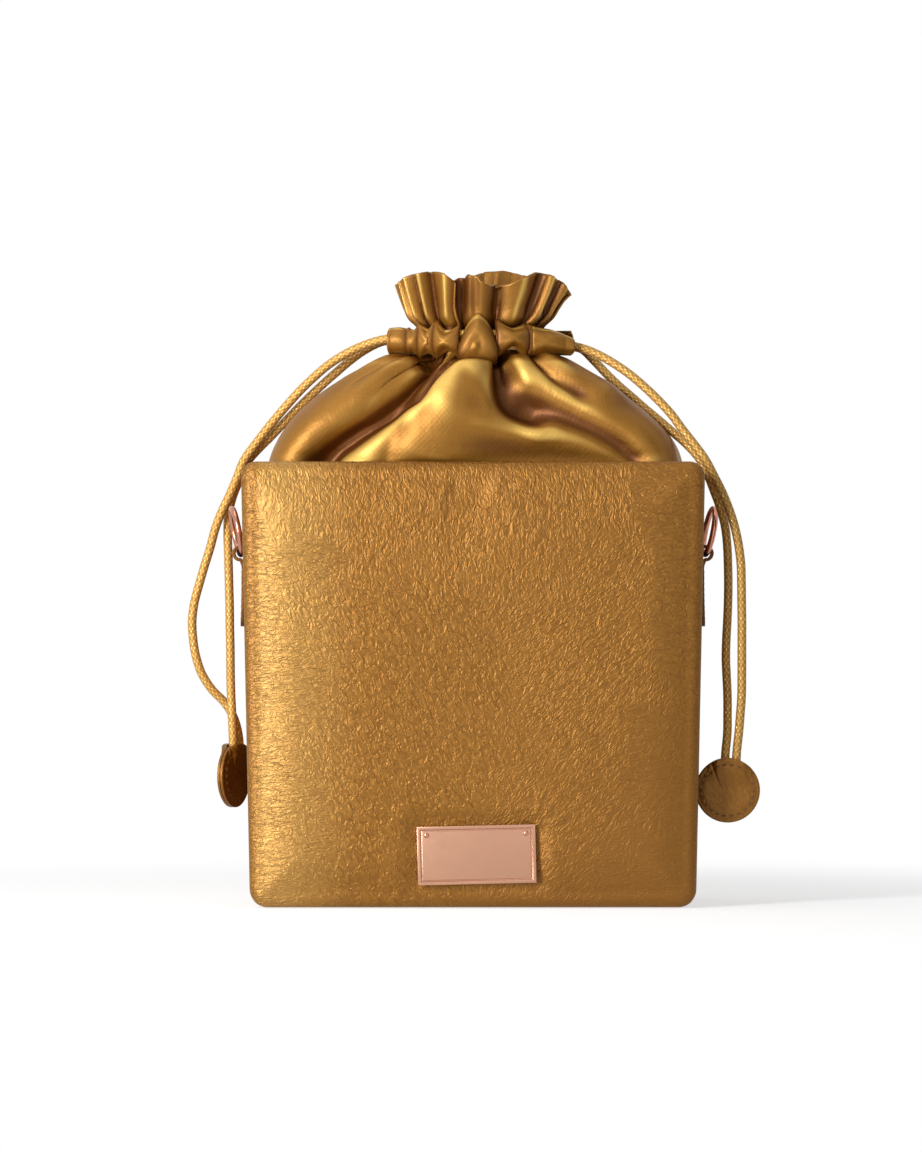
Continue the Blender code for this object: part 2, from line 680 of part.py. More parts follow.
def smooth_route(points, spacing):
    # Evenly spaced points on a smooth curve through the route's points
    padded = [2 * points[0] - points[1]] + points + [2 * points[-1] - points[-2]]
    steps = 12
    dense = []
    for i in range(1, len(padded) - 2):
        before, start, end, after = padded[i - 1:i + 3]
        for step in range(steps):
            t = step / steps
            dense.append(0.5 * (
                2 * start + (end - before) * t
                + (2 * before - 5 * start + 4 * end - after) * t * t
                + (3 * start - before - 3 * end + after) * t ** 3
            ))
    dense.append(points[-1])
    lengths = [0.0]
    for near, far in zip(dense, dense[1:]):
        lengths.append(lengths[-1] + (far - near).length)
    count = round(lengths[-1] / spacing)
    route = []
    k = 0
    for i in range(count + 1):
        target = lengths[-1] * i / count
        while k < len(dense) - 2 and lengths[k + 1] < target:
            k += 1
        part = (target - lengths[k]) / (lengths[k + 1] - lengths[k])
        route.append(dense[k].lerp(dense[k + 1], min(part, 1.0)))
    return route


def stopper_matrix(place, turn):
    return Matrix.Translation(place) @ Matrix.Rotation(turn, 4, "Z")


def seat_points(place, turn, across):
    # The cord's end in its pocket and where it leaves the stopper's edge
    frame = stopper_matrix(place, turn)
    rim = math.sqrt(STOPPER_RADIUS ** 2 - across ** 2)
    return [
        frame @ Vector((across, 0, STOPPER_RADIUS - CORD_SEAT)),
        frame @ Vector((across, 0, rim)),
    ]


def drawstring(name, side, place, turn, seats, outer, inner, height, exits):
    # From the stopper up, through the front casing, round the far side and back again
    points = seat_points(place, turn, seats[0])
    points += [Vector(point) * MM for point in outer]
    near = side * EXIT_END
    sweep = 360 - 2 * (90 - EXIT_END)
    for i in range(LOOP_POINTS):
        angle = near - side * sweep * i / (LOOP_POINTS - 1)
        own_side = math.sin(math.radians(angle)) * side > 0
        from_face = math.degrees(math.asin(min(abs(math.sin(math.radians(angle))), 1.0)))
        past = max((from_face - EXIT_TURN) / (EXIT_END - EXIT_TURN), 0.0)
        drop = past if own_side else 0.0
        x, y = loop_point(angle, 0.0 if own_side else FAR_SLACK * past, own_side)
        lowest = exits[0] if y < 0 else exits[1]
        points.append(Vector((x, y, height + (lowest - height) * drop)))
    points += [Vector(point) * MM for point in reversed(inner)]
    points += reversed(seat_points(place, turn, seats[1]))
    route = smooth_route(points, CORD_SPACING)
    curve = bpy.data.curves.new(name, "CURVE")
    curve.dimensions = "3D"
    curve.bevel_depth = CORD_RADIUS
    curve.bevel_resolution = 2
    curve.use_fill_caps = True
    spline = curve.splines.new("POLY")
    spline.points.add(len(route) - 1)
    for spot, point in zip(spline.points, route):
        spot.co = (*point, 1.0)
    curve.materials.append(gold_cord())
    made = bpy.data.objects.new(name, curve)
    bpy.context.scene.collection.objects.link(made)
    return made


def stopper_layer(name, place, turn, seats, side):
    # One round layer, raised over the cord ends and hollowed for them
    start, end = CLEARANCE / 2, CLEARANCE / 2 + STOPPER_LAYER
    face = side * end
    disc = rod(STOPPER_RADIUS, *sorted((side * start, face)), segments=40)
    outer = [e for e in disc.edges if all(abs(v.co.y - face) < 1e-6 for v in e.verts)]
    bmesh.ops.bevel(disc, geom=outer, offset=STOPPER_EDGE, segments=2, affect="EDGES")
    made = add_object(name, disc, gold_leather())
    pocket_wall = CORD_RADIUS + CLEARANCE
    middle = sum(seats) / 2
    half_pocket = abs(seats[0] - seats[1]) / 2 + pocket_wall
    bulge = bmesh.new()
    bmesh.ops.create_uvsphere(bulge, u_segments=18, v_segments=12, radius=1.0)
    reach = (half_pocket + BULGE_SIDE, pocket_wall + BULGE_RISE, CORD_SEAT + BULGE_END)
    bmesh.ops.scale(bulge, vec=reach, verts=bulge.verts)
    rim = math.sqrt(STOPPER_RADIUS ** 2 - middle ** 2)
    bmesh.ops.translate(bulge, vec=(middle, 0, rim), verts=bulge.verts)
    raised = add_object("raised", bulge, gold_leather())
    span = sorted((side * (start + STOPPER_LAYER / 2), side * 2 * reach[1]))
    inside = rod(STOPPER_RADIUS - STOPPER_EDGE / 2, *span, segments=40)
    boolean(raised, add_object("inside", inside, gold_leather()), "INTERSECT")
    boolean(made, raised, "UNION")
    pocket = box(
        (middle - half_pocket, -pocket_wall, STOPPER_RADIUS - CORD_SEAT - CLEARANCE),
        (middle + half_pocket, pocket_wall, STOPPER_RADIUS + CORD_SEAT),
    )
    upright = [e for e in pocket.edges if abs(e.verts[0].co.z - e.verts[1].co.z) > CORD_SEAT]
    bmesh.ops.bevel(pocket, geom=upright, offset=CORD_RADIUS / 2, segments=3, affect="EDGES")
    boolean(made, add_object("pocket", pocket, gold_leather()), "DIFFERENCE")
    made.matrix_world = stopper_matrix(place, turn)
    return made


def tab_place(side):
    # Where the loop's axis lies, outside the gusset
    reach = half_width(RING_HEIGHT) - GUSSET_INSET + CLEARANCE + LOOP_INNER + TAB_LEAF
    return Vector((side * reach, 0, RING_HEIGHT))


def tab(name, side):
    # A strap folded round the ring's wire, its two leaves sewn flat to the side
    outer = LOOP_INNER + TAB_LEAF
    flat = 2 * TAB_LEAF + CLEARANCE
    half = TAB_WIDTH / 2
    low = -TAB_LENGTH + TAB_END_ROUND
    face = [(half, 0), (-half, 0)]
    face += arc((TAB_END_ROUND - half, low), TAB_END_ROUND, 180, 270, 6)
    face += arc((half - TAB_END_ROUND, low), TAB_END_ROUND, 270, 360, 6)
    leaves = ring_solid([[(x, y, z) for y, z in face] for x in (-side * outer, side * (flat - outer))])
    made = add_object(name, leaves, gold_leather())
    roll = rod(outer, -half, half, segments=28)
    boolean(made, add_object("roll", roll, gold_leather()), "UNION")
    hole = rod(LOOP_INNER, -TAB_WIDTH, TAB_WIDTH, segments=20)
    boolean(made, add_object("hole", hole, gold_leather()), "DIFFERENCE")
    slope = math.atan((BOX_TOP_WIDTH - BOX_BOTTOM_WIDTH) / 2 / BOX_HEIGHT)
    made.location = tab_place(side)
    made.rotation_euler = (0, side * slope, 0)
    return made


def strap_ring(name, side):
    # A wire ring whose lowest point turns in the tab's loop; its origin is on the hinge line
    rise = RING_RADIUS - math.sqrt(RING_RADIUS ** 2 - (TAB_WIDTH / 2) ** 2)
    made = bmesh.new()
    wire_steps, ring_steps = 10, 36
    loops = []
    for i in range(ring_steps):
        around = 2 * math.pi * i / ring_steps
        centre = Vector((0, RING_RADIUS * math.sin(around), RING_RADIUS - RING_RADIUS * math.cos(around)))
        away = Vector((0, math.sin(around), -math.cos(around)))
        loop = []
        for j in range(wire_steps):
            turn = 2 * math.pi * j / wire_steps
            out = away * math.cos(turn) + Vector((1, 0, 0)) * math.sin(turn)
            loop.append(made.verts.new(centre + out * RING_WIRE - Vector((0, 0, rise / 2))))
        loops.append(loop)
    for i in range(ring_steps):
        near, far = loops[i], loops[(i + 1) % ring_steps]
        for j in range(wire_steps):
            k = (j + 1) % wire_steps
            made.faces.new((near[j], near[k], far[k], far[j]))
    ring = add_object(name, made, rose_gold(), 60.0)
    ring.location = tab_place(side)
    ring.rotation_euler = (0, side * RING_LEAN, RING_TURN)
    return ring


def plate_matrix():
    # The plate's frame: its face looks along -Y, its origin on the cover's face
    place = Matrix.Translation((PLATE_CENTRE[0], -FRONT, PLATE_CENTRE[1]))
    return place @ Matrix.Rotation(-PLATE_TILT, 4, "Y")


def pin_hole(radius, across):
    hole = rod(radius, -EDGE_ROUND, EDGE_ROUND, segments=PIN_SIDES)
    bmesh.ops.translate(hole, vec=(across, 0, PIN_RISE), verts=hole.verts)
    made = add_object("pin_hole", hole, rose_gold())
    made.matrix_world = plate_matrix()
    return made


def name_plate():
    # A bare metal plate with a raised rim round its recessed face
    back = -CLEARANCE
    face = back - PLATE_THICKNESS
    half = (PLATE_WIDTH / 2, PLATE_HEIGHT / 2)
    plate = box((-half[0], face, -half[1]), (half[0], back, half[1]))
    front = [f for f in plate.faces if all(abs(v.co.y - face) < 1e-7 for v in f.verts)]
    bmesh.ops.inset_region(plate, faces=front, thickness=PLATE_RIM)
    bmesh.ops.inset_region(plate, faces=front, thickness=PLATE_RECESS)
    bmesh.ops.translate(plate, vec=(0, PLATE_RECESS, 0), verts=front[0].verts)
    made = add_object("name_plate", plate, rose_gold())
    made.matrix_world = plate_matrix()
    for side in (-1, 1):
        hole = pin_hole(PIN_SHANK_RADIUS + CLEARANCE, side * PIN_SPACING / 2)
        boolean(made, hole, "DIFFERENCE")
    return made


def plate_pin(name, side):
    # A round-headed pin through the plate and the cover
    top = -CLEARANCE - PLATE_THICKNESS + PLATE_RECESS - CLEARANCE
    crown = top - PIN_HEAD_HEIGHT
    end = COVER_INSET - CLEARANCE
    profile = [
        (PIN_SHANK_RADIUS, end), (PIN_SHANK_RADIUS, top), (PIN_HEAD_RADIUS, top),
        (PIN_HEAD_RADIUS * PIN_SHOULDER[0], top - PIN_HEAD_HEIGHT * PIN_SHOULDER[1]),
        (PIN_HEAD_RADIUS * PIN_CROWN, crown),
    ]
    rings = []
    for radius, y in profile:
        circle = arc((0, 0), radius, 0, 360 - 360 / PIN_SIDES, PIN_SIDES - 1)
        rings.append([(x, y, z) for x, z in circle])
    made = add_object(name, ring_solid(rings), rose_gold())
    made.matrix_world = plate_matrix() @ Matrix.Translation((side * PIN_SPACING / 2, 0, PIN_RISE))
    return made


def build():
    for old in list(bpy.data.objects):
        bpy.data.objects.remove(old)
    front = cover("front_cover", -1)
    for side in (-1, 1):
        hole = pin_hole(PIN_SHANK_RADIUS + CLEARANCE, side * PIN_SPACING / 2)
        boolean(front, hole, "DIFFERENCE")
    cover("back_cover", 1)
    gusset()
    base_panel()
    for name, side in (("front", -1), ("back", 1)):
        pad(name + "_pad", side)
        face_board(name + "_board", side)
    side_board("left_board", -1)
    side_board("right_board", 1)
    base_board()
    lining()
    pouch_sleeve()
    casing("casing_front", "front")
    casing("casing_back", "back")
    sides = (
        ("left", -1, LEFT_STOPPER, LEFT_STOPPER_TURN, LEFT_SEATS, LEFT_OUTER, LEFT_INNER,
         LEFT_LOOP_HEIGHT, LEFT_EXITS),
        ("right", 1, RIGHT_STOPPER, RIGHT_STOPPER_TURN, RIGHT_SEATS, RIGHT_OUTER, RIGHT_INNER,
         RIGHT_LOOP_HEIGHT, RIGHT_EXITS),
    )
    for name, side, place, turn, seats, outer, inner, height, exits in sides:
        drawstring("drawstring_" + name, side, place, turn, seats, outer, inner, height, exits)
        stopper_layer("stopper_" + name + "_face", place, turn, seats, -1)
        stopper_layer("stopper_" + name + "_back", place, turn, seats, 1)
        tab("tab_" + name, side)
        strap_ring("ring_" + name, side)
    name_plate()
    plate_pin("plate_pin_left", -1)
    plate_pin("plate_pin_right", 1)


build()
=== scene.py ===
# Potli bag: a padded leather box bag with a gathered satin pouch, two drawstrings and strap rings.
# Metres, +Z up, the front faces -Y.
import math

import bpy
import numpy as np
from mathutils import Matrix, Vector


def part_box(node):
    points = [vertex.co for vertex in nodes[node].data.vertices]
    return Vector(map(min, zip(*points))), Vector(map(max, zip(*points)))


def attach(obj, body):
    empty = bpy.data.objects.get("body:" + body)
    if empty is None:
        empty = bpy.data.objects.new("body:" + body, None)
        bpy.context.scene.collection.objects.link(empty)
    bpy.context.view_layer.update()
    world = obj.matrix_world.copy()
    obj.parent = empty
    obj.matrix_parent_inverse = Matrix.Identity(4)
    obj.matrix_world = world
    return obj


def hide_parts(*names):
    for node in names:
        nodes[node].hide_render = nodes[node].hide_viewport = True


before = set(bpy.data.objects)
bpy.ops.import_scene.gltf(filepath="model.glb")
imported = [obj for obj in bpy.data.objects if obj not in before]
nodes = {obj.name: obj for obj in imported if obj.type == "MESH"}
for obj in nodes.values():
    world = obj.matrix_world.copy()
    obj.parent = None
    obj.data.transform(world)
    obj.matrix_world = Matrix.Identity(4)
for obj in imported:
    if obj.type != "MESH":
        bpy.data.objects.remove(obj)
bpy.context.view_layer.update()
mm = 0.001


# camera

cameraSet = {
    "distance": 2.4,        # from the front face
    "aim": (-0.0047, 0.1295),   # x and height at the middle of the picture
    "seenHeight": 0.4493,   # height of the picture at the front face
    "frontY": -0.038,
}


def makeCamera():
    c = cameraSet
    data = bpy.data.cameras.new("camera")
    data.lens = 36 * c["distance"] / c["seenHeight"]
    data.clip_start, data.clip_end = 0.05, 20
    camera = bpy.data.objects.new("camera", data)
    camera.location = (c["aim"][0], c["frontY"] - c["distance"], c["aim"][1])
    camera.rotation_euler = (math.radians(90), 0, 0)
    bpy.context.scene.collection.objects.link(camera)
    bpy.context.scene.camera = camera


makeCamera()
print("camera ready")


# general helpers

def deselectAll():
    if bpy.context.mode != 'OBJECT':
        bpy.ops.object.mode_set(mode='OBJECT')
    bpy.ops.object.select_all(action='DESELECT')


def takeHold(piece):
    deselectAll()
    piece.select_set(True)
    bpy.context.view_layer.objects.active = piece


def applyPlace(piece):
    takeHold(piece)
    bpy.ops.object.transform_apply(location=True, rotation=True, scale=True)


def applyModifier(piece, kind, **settings):
    takeHold(piece)
    step = piece.modifiers.new(kind.lower(), kind)
    for key, value in settings.items():
        setattr(step, key, value)
    bpy.ops.object.modifier_apply(modifier=step.name)


def editPiece(piece, *steps):
    # runs mesh operators on the whole piece, each given with its settings
    takeHold(piece)
    bpy.ops.object.mode_set(mode='EDIT')
    bpy.ops.mesh.select_all(action='SELECT')
    for step, settings in steps:
        getattr(bpy.ops.mesh, step)(**settings)
    bpy.ops.object.mode_set(mode='OBJECT')


outward = ("normals_make_consistent", {"inside": False})


def insetFaces(piece, axis, steps):
    # steps the faces that look down an axis inward, each step a width and a height
    takeHold(piece)
    bpy.ops.object.mode_set(mode='EDIT')
    bpy.ops.mesh.select_all(action='DESELECT')
    bpy.ops.mesh.select_mode(type='FACE')
    bpy.ops.object.mode_set(mode='OBJECT')
    for face in piece.data.polygons:
        face.select = face.normal[axis] < -0.9
    bpy.ops.object.mode_set(mode='EDIT')
    for width, height in steps:
        bpy.ops.mesh.inset(thickness=width, depth=height)
    bpy.ops.object.mode_set(mode='OBJECT')


def newPiece(name):
    # the object that an operator has just added
    piece = bpy.context.object
    piece.name = piece.data.name = name
    return piece


def readPoints(piece):
    points = np.empty(len(piece.data.vertices) * 3, np.float32)
    piece.data.vertices.foreach_get("co", points)
    return points.reshape(-1, 3).astype(float)


def writePoints(piece, points):
    piece.data.vertices.foreach_set("co", np.asarray(points, np.float32).ravel())
    piece.data.update()


def pieceFrom(name, points, faces):
    mesh = bpy.data.meshes.new(name)
    mesh.from_pydata(np.asarray(points, float).reshape(-1, 3).tolist(), [], faces)
    mesh.update()
    piece = bpy.data.objects.new(name, mesh)
    bpy.context.scene.collection.objects.link(piece)
    return piece


def gridFaces(rows, columns, closed, flip=False):
    i, j = np.meshgrid(np.arange(rows - 1), np.arange(columns if closed else columns - 1), indexing="ij")
    k = (j + 1) % columns
    quads = np.stack([i * columns + j, i * columns + k, (i + 1) * columns + k, (i + 1) * columns + j], -1)
    quads = quads.reshape(-1, 4)
    return (quads[:, ::-1] if flip else quads).tolist()


def gridPiece(name, rows, closed=False, flip=False):
    # rows of points joined by quads, each row closed to a ring or left open
    return pieceFrom(name, rows, gridFaces(rows.shape[0], rows.shape[1], closed, flip))


def pointMask(piece, name, values):
    mask = piece.data.attributes.new(name, 'FLOAT', 'POINT')
    mask.data.foreach_set("value", np.asarray(values, np.float32).ravel())


def pointUv(piece, uv):
    layer = piece.data.uv_layers.new(name="cloth")
    corner = np.zeros(len(piece.data.loops), np.int32)
    piece.data.loops.foreach_get("vertex_index", corner)
    layer.data.foreach_set("uv", np.asarray(uv, np.float32).reshape(-1, 2)[corner].ravel())


def smoothPiece(piece, angle=None):
    takeHold(piece)
    bpy.ops.object.shade_smooth()
    if angle:
        bpy.ops.object.shade_smooth_by_angle(angle=math.radians(angle))


def finishPiece(piece, look, body="bag", replaces=()):
    piece.data.materials.clear()
    piece.data.materials.append(look)
    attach(piece, body)
    if replaces:
        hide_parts(*replaces)


def smoothStep(low, high, value):
    t = np.clip((value - low) / (high - low), 0, 1)
    return t * t * (3 - 2 * t)


def bump(value, width):
    return np.exp(-(value / width) ** 2)


def smoothCurve(points, count):
    # evenly spaced points on a smooth curve through the given ones
    p = np.asarray(points, float)
    p = np.vstack([2 * p[0] - p[1], p, 2 * p[-1] - p[-2]])
    t = np.linspace(0, 1, 24, endpoint=False)[:, None]
    runs = []
    for a, b, c, d in zip(p, p[1:], p[2:], p[3:]):
        runs.append(0.5 * (2 * b + (c - a) * t + (2 * a - 5 * b + 4 * c - d) * t ** 2
                           + (3 * b - a - 3 * c + d) * t ** 3))
    dense = np.vstack(runs + [p[-2:-1]])
    reach = np.concatenate([[0], np.cumsum(np.linalg.norm(np.diff(dense, axis=0), axis=1))])
    at = np.linspace(0, reach[-1], count)
    return np.stack([np.interp(at, reach, dense[:, k]) for k in range(p.shape[1])], -1), reach[-1]


# materials

class Tree:
    # short ways to add and join shader nodes
    def __init__(self, tree):
        self.tree = tree

    def add(self, kind, inputs=None, **settings):
        made = self.tree.nodes.new(kind)
        for key, value in settings.items():
            setattr(made, key, value)
        self.fill(made, inputs or {})
        return made

    def fill(self, made, inputs):
        for key, value in inputs.items():
            if isinstance(value, bpy.types.NodeSocket):
                self.link(value, made.inputs[key])
            else:
                made.inputs[key].default_value = value

    def link(self, output, socket):
        self.tree.links.new(output, socket)

    def math(self, kind, *values):
        return self.add("ShaderNodeMath", dict(enumerate(values)), operation=kind).outputs[0]

    def plus(self, a, b):
        return self.math('ADD', a, b)

    def minus(self, a, b):
        return self.math('SUBTRACT', a, b)

    def times(self, a, b):
        return self.math('MULTIPLY', a, b)

    def mix(self, factor, a, b, blend='MIX'):
        made = self.add("ShaderNodeMix", {0: factor, 6: a, 7: b}, data_type='RGBA', blend_type=blend)
        return made.outputs[2]

    def mixValue(self, factor, a, b):
        return self.add("ShaderNodeMix", {0: factor, 2: a, 3: b}, data_type='FLOAT').outputs[0]

    def band(self, value, low, high):
        # 0 below low, 1 above high
        made = self.add("ShaderNodeMapRange", {"Value": value, "From Min": low, "From Max": high},
                        interpolation_type='SMOOTHSTEP')
        return made.outputs[0]

    def noise(self, vector, scale, detail=2.0, rough=0.5, distort=0.0):
        return self.add("ShaderNodeTexNoise", {
            "Vector": vector, "Scale": scale, "Detail": detail, "Roughness": rough, "Distortion": distort,
        }).outputs[0]

    def place(self):
        return self.add("ShaderNodeTexCoord").outputs["Object"]

    def parts(self, vector):
        return self.add("ShaderNodeSeparateXYZ", {0: vector}).outputs


def newMaterial(name):
    made = bpy.data.materials.new(name)
    made.use_nodes = True
    return made, Tree(made.node_tree), made.node_tree.nodes["Principled BSDF"]


def bumpInto(tree, shader, height, distance):
    made = tree.add("ShaderNodeBump", {"Height": height, "Distance": distance, "Strength": 1.0})
    tree.link(made.outputs[0], shader.inputs["Normal"])


def feed(tree, shader, **links):
    tree.fill(shader, {key.replace("_", " "): value for key, value in links.items()})


def rgb(r, g, b):
    # a colour as it is read off a picture, 0 to 255
    def line(value):
        value /= 255
        return value / 12.92 if value <= 0.04045 else ((value + 0.055) / 1.055) ** 2.4
    return (line(r), line(g), line(b), 1)


def newGroup(name, inputs, outputs):
    group = bpy.data.node_groups.new(name, "ShaderNodeTree")
    for title, kind, value in inputs:
        socket = group.interface.new_socket(title, in_out='INPUT', socket_type=kind)
        if value is not None:
            socket.default_value = value
    for title, kind in outputs:
        group.interface.new_socket(title, in_out='OUTPUT', socket_type=kind)
    tree = Tree(group)
    return group, tree, tree.add("NodeGroupInput").outputs, tree.add("NodeGroupOutput").inputs


def makeGrainGroup():
    # short creased ridges that run along one direction of the face
    group, tree, ins, outs = newGroup("leatherGrain", [
        ("Place", 'NodeSocketVector', None), ("Turn", 'NodeSocketFloat', 0.0),
        ("Across", 'NodeSocketFloat', 900.0), ("Along", 'NodeSocketFloat', 330.0),
        ("Wander", 'NodeSocketFloat', 1.5),
    ], [("Height", 'NodeSocketFloat')])
    turned = tree.add("ShaderNodeVectorRotate", {"Vector": ins["Place"], "Angle": ins["Turn"]},
                      rotation_type='Y_AXIS').outputs[0]
    scale = tree.add("ShaderNodeCombineXYZ", {0: ins["Along"], 1: ins["Across"], 2: ins["Across"]})
    stretched = tree.add("ShaderNodeVectorMath", {0: turned, 1: scale.outputs[0]}, operation='MULTIPLY')
    drift = tree.add("ShaderNodeTexNoise", {"Vector": stretched.outputs[0], "Scale": 0.7, "Detail": 1.0})
    shift = tree.add("ShaderNodeVectorMath", {0: drift.outputs["Color"], 1: (0.5, 0.5, 0.5)},
                     operation='SUBTRACT')
    pull = tree.add("ShaderNodeVectorMath", {0: shift.outputs[0], "Scale": ins["Wander"]}, operation='SCALE')
    bent = tree.add("ShaderNodeVectorMath", {0: stretched.outputs[0], 1: pull.outputs[0]}, operation='ADD')
    noise = tree.noise(bent.outputs[0], 1.0, 1.5, 0.5, 1.4)
    ridge = tree.add("ShaderNodeMapRange", {"Value": noise, "From Min": 0.28, "From Max": 0.72}).outputs[0]
    tree.link(ridge, outs["Height"])
    return group


def makeWearGroup():
    # slow patches and fine speckle, used on colour and roughness
    group, tree, ins, outs = newGroup("softWear", [
        ("Place", 'NodeSocketVector', None), ("Patch", 'NodeSocketFloat', 28.0),
        ("Fine", 'NodeSocketFloat', 1400.0),
    ], [("Patches", 'NodeSocketFloat'), ("Speckle", 'NodeSocketFloat')])
    patches = tree.noise(ins["Place"], ins["Patch"], 3.0, 0.55, 0.3)
    speckle = tree.noise(ins["Place"], ins["Fine"], 2.0, 0.6)
    tree.link(patches, outs["Patches"])
    tree.link(speckle, outs["Speckle"])
    return group


def makeWeaveGroup():
    # warp and weft threads from a cloth map in metres
    group, tree, ins, outs = newGroup("threadWeave", [
        ("Map", 'NodeSocketVector', None), ("Threads", 'NodeSocketFloat', 2600.0),
        ("Slub", 'NodeSocketFloat', 0.5),
    ], [("Height", 'NodeSocketFloat'), ("Streak", 'NodeSocketFloat')])
    u, v, _ = tree.parts(ins["Map"])
    across = tree.math('SINE', tree.times(u, ins["Threads"]))
    up = tree.math('SINE', tree.times(v, ins["Threads"]))
    weave = tree.times(across, up)
    threads = []
    for wide, tall in ((60.0, 900.0), (900.0, 60.0)):
        drawn = tree.add("ShaderNodeCombineXYZ", {0: tree.times(u, wide), 1: tree.times(v, tall)})
        threads.append(tree.noise(drawn.outputs[0], 1.0, 2.0))
    streak = tree.times(tree.plus(*threads), 0.5)
    height = tree.plus(tree.times(weave, 0.3), tree.times(streak, ins["Slub"]))
    tree.link(height, outs["Height"])
    tree.link(streak, outs["Streak"])
    return group


grainGroup = makeGrainGroup()
wearGroup = makeWearGroup()
weaveGroup = makeWeaveGroup()


def useGroup(tree, group, **inputs):
    return tree.add("ShaderNodeGroup", inputs, node_tree=group).outputs


leatherSet = {
    # the last colour is a painted highlight, laid on the face's left edge where the key lamp catches it
    "base": rgb(134, 87, 17), "low": rgb(92, 54, 12), "high": rgb(162, 116, 44), "leftEdgeHighlight": rgb(230, 188, 108),
    "metal": 0.60, "rough": 0.46, "coat": 0.06, "coatRough": 0.30, "depth": 0.00028,
    # layers of grain: turn, scale across and along
    "middle": (-0.95, 520, 270), "level": (0.0, 780, 230), "upright": (-1.5, 540, 240),
    "slant": (-2.3, 570, 290),
    # where they take over, in metres, and how far that line strays
    "rightward": (-0.004, 0.036), "raised": (0.128, 0.142), "edge": (0.064, 0.073), "wobble": 0.11,
}


def leatherMaterial(name, tint=(1, 1, 1, 1), fine=1.0, flow=True, depth=1.0):
    # gold coated leather: flow of creased ridges, soft patches, and a painted highlight down the left edge of
    # the face
    s = leatherSet
    made, tree, shader = newMaterial(name)
    place = tree.place()
    wear = useGroup(tree, wearGroup, Place=place)

    def grain(layer, finer=1.0):
        turn, across, along = s[layer]
        scales = {"Across": across * finer, "Along": along * finer}
        return useGroup(tree, grainGroup, Place=place, Turn=turn, **scales)["Height"]

    height = grain("middle", fine)
    if flow:
        x, _, z = tree.parts(place)
        wobble = tree.times(tree.minus(wear["Patches"], 0.5), s["wobble"])
        layers = ((x, "rightward", "slant"), (z, "raised", "upright"),
                  (tree.math('ABSOLUTE', x), "edge", "level"))
        for along, where, layer in layers:
            taken = tree.band(tree.plus(along, wobble), *s[where])
            height = tree.mixValue(taken, height, grain(layer))
        # the grain is drawn flatter to the lower right
        calm = tree.band(tree.minus(x, z), -0.06, 0.06)
        height = tree.times(height, tree.mixValue(calm, 1.0, 0.45))
    shade = tree.mix(tree.band(height, 0.0, 0.9), s["low"], s["high"])
    colour = tree.mix(0.24, s["base"], shade)
    colour = tree.mix(tree.times(wear["Patches"], 0.30), colour, rgb(136, 90, 34))
    if flow:
        # painted highlight: a paler band down the left edge of the face, where the key lamp from the left
        # catches the rounded edge
        leftward = tree.times(x, -1.0)
        leftEdgeHighlight = tree.mixValue(tree.band(leftward, 0.0815, 0.0865), tree.band(leftward, 0.040, 0.080), 0.15)
        colour = tree.mix(tree.times(leftEdgeHighlight, 0.23), colour, s["leftEdgeHighlight"])
    colour = tree.mix(1.0, colour, tint, 'MULTIPLY')
    rough = tree.plus(tree.times(wear["Speckle"], 0.16), s["rough"] - 0.08)
    feed(tree, shader, Base_Color=colour, Roughness=rough, Metallic=s["metal"], Coat_Weight=s["coat"],
         Coat_Roughness=s["coatRough"])
    fineHeight = tree.plus(height, tree.times(wear["Speckle"], 0.10))
    bumpInto(tree, shader, fineHeight, s["depth"] * depth)
    return made


satinSet = {
    # the second colour is painted shade for the folds and the third painted highlight for their ridges
    "base": rgb(136, 90, 20), "deep": rgb(92, 46, 0), "pale": rgb(224, 182, 92), "thread": rgb(172, 122, 48),
    "metal": 0.56, "rough": 0.46, "depth": 0.00005,
}


def satinMaterial(name, mask=True):
    # gold satin, with painted shade browning the folds and painted highlight paling their backs
    s = satinSet
    made, tree, shader = newMaterial(name)
    if mask:
        cloth = tree.add("ShaderNodeUVMap", uv_map="cloth").outputs[0]
        paintedShading = tree.add("ShaderNodeAttribute", attribute_name="paintedShading",
                        attribute_type='GEOMETRY').outputs["Fac"]
    else:
        cloth = tree.place()
        paintedShading = None
    weave = useGroup(tree, weaveGroup, Map=cloth)
    wear = useGroup(tree, wearGroup, Place=tree.place(), Patch=45.0)
    colour = tree.mix(tree.times(weave["Streak"], 0.5), s["base"], s["thread"])
    if paintedShading is not None:
        # painted shade in the folds and painted highlight on the ridges, from the mask laid on each point
        deep = tree.band(tree.times(paintedShading, -1.0), 0.02, 0.9)
        high = tree.band(paintedShading, 0.02, 0.95)
        colour = tree.mix(tree.times(deep, 0.92), colour, s["deep"])
        colour = tree.mix(tree.times(high, 0.80), colour, s["pale"])
    rough = tree.plus(tree.times(wear["Patches"], 0.14), s["rough"] - 0.05)
    feed(tree, shader, Base_Color=colour, Roughness=rough, Metallic=s["metal"])
    crumple = tree.noise(tree.place(), 130.0, 2.0, 0.5, 0.8)
    height = tree.plus(weave["Height"], tree.times(crumple, 5.0))
    bumpInto(tree, shader, height, s["depth"])
    return made


cordSet = {
    "base": rgb(216, 170, 80), "dark": rgb(178, 126, 50), "pale": rgb(252, 230, 156), "depth": 0.00014,
    "strands": 6, "lay": 0.0026,
}


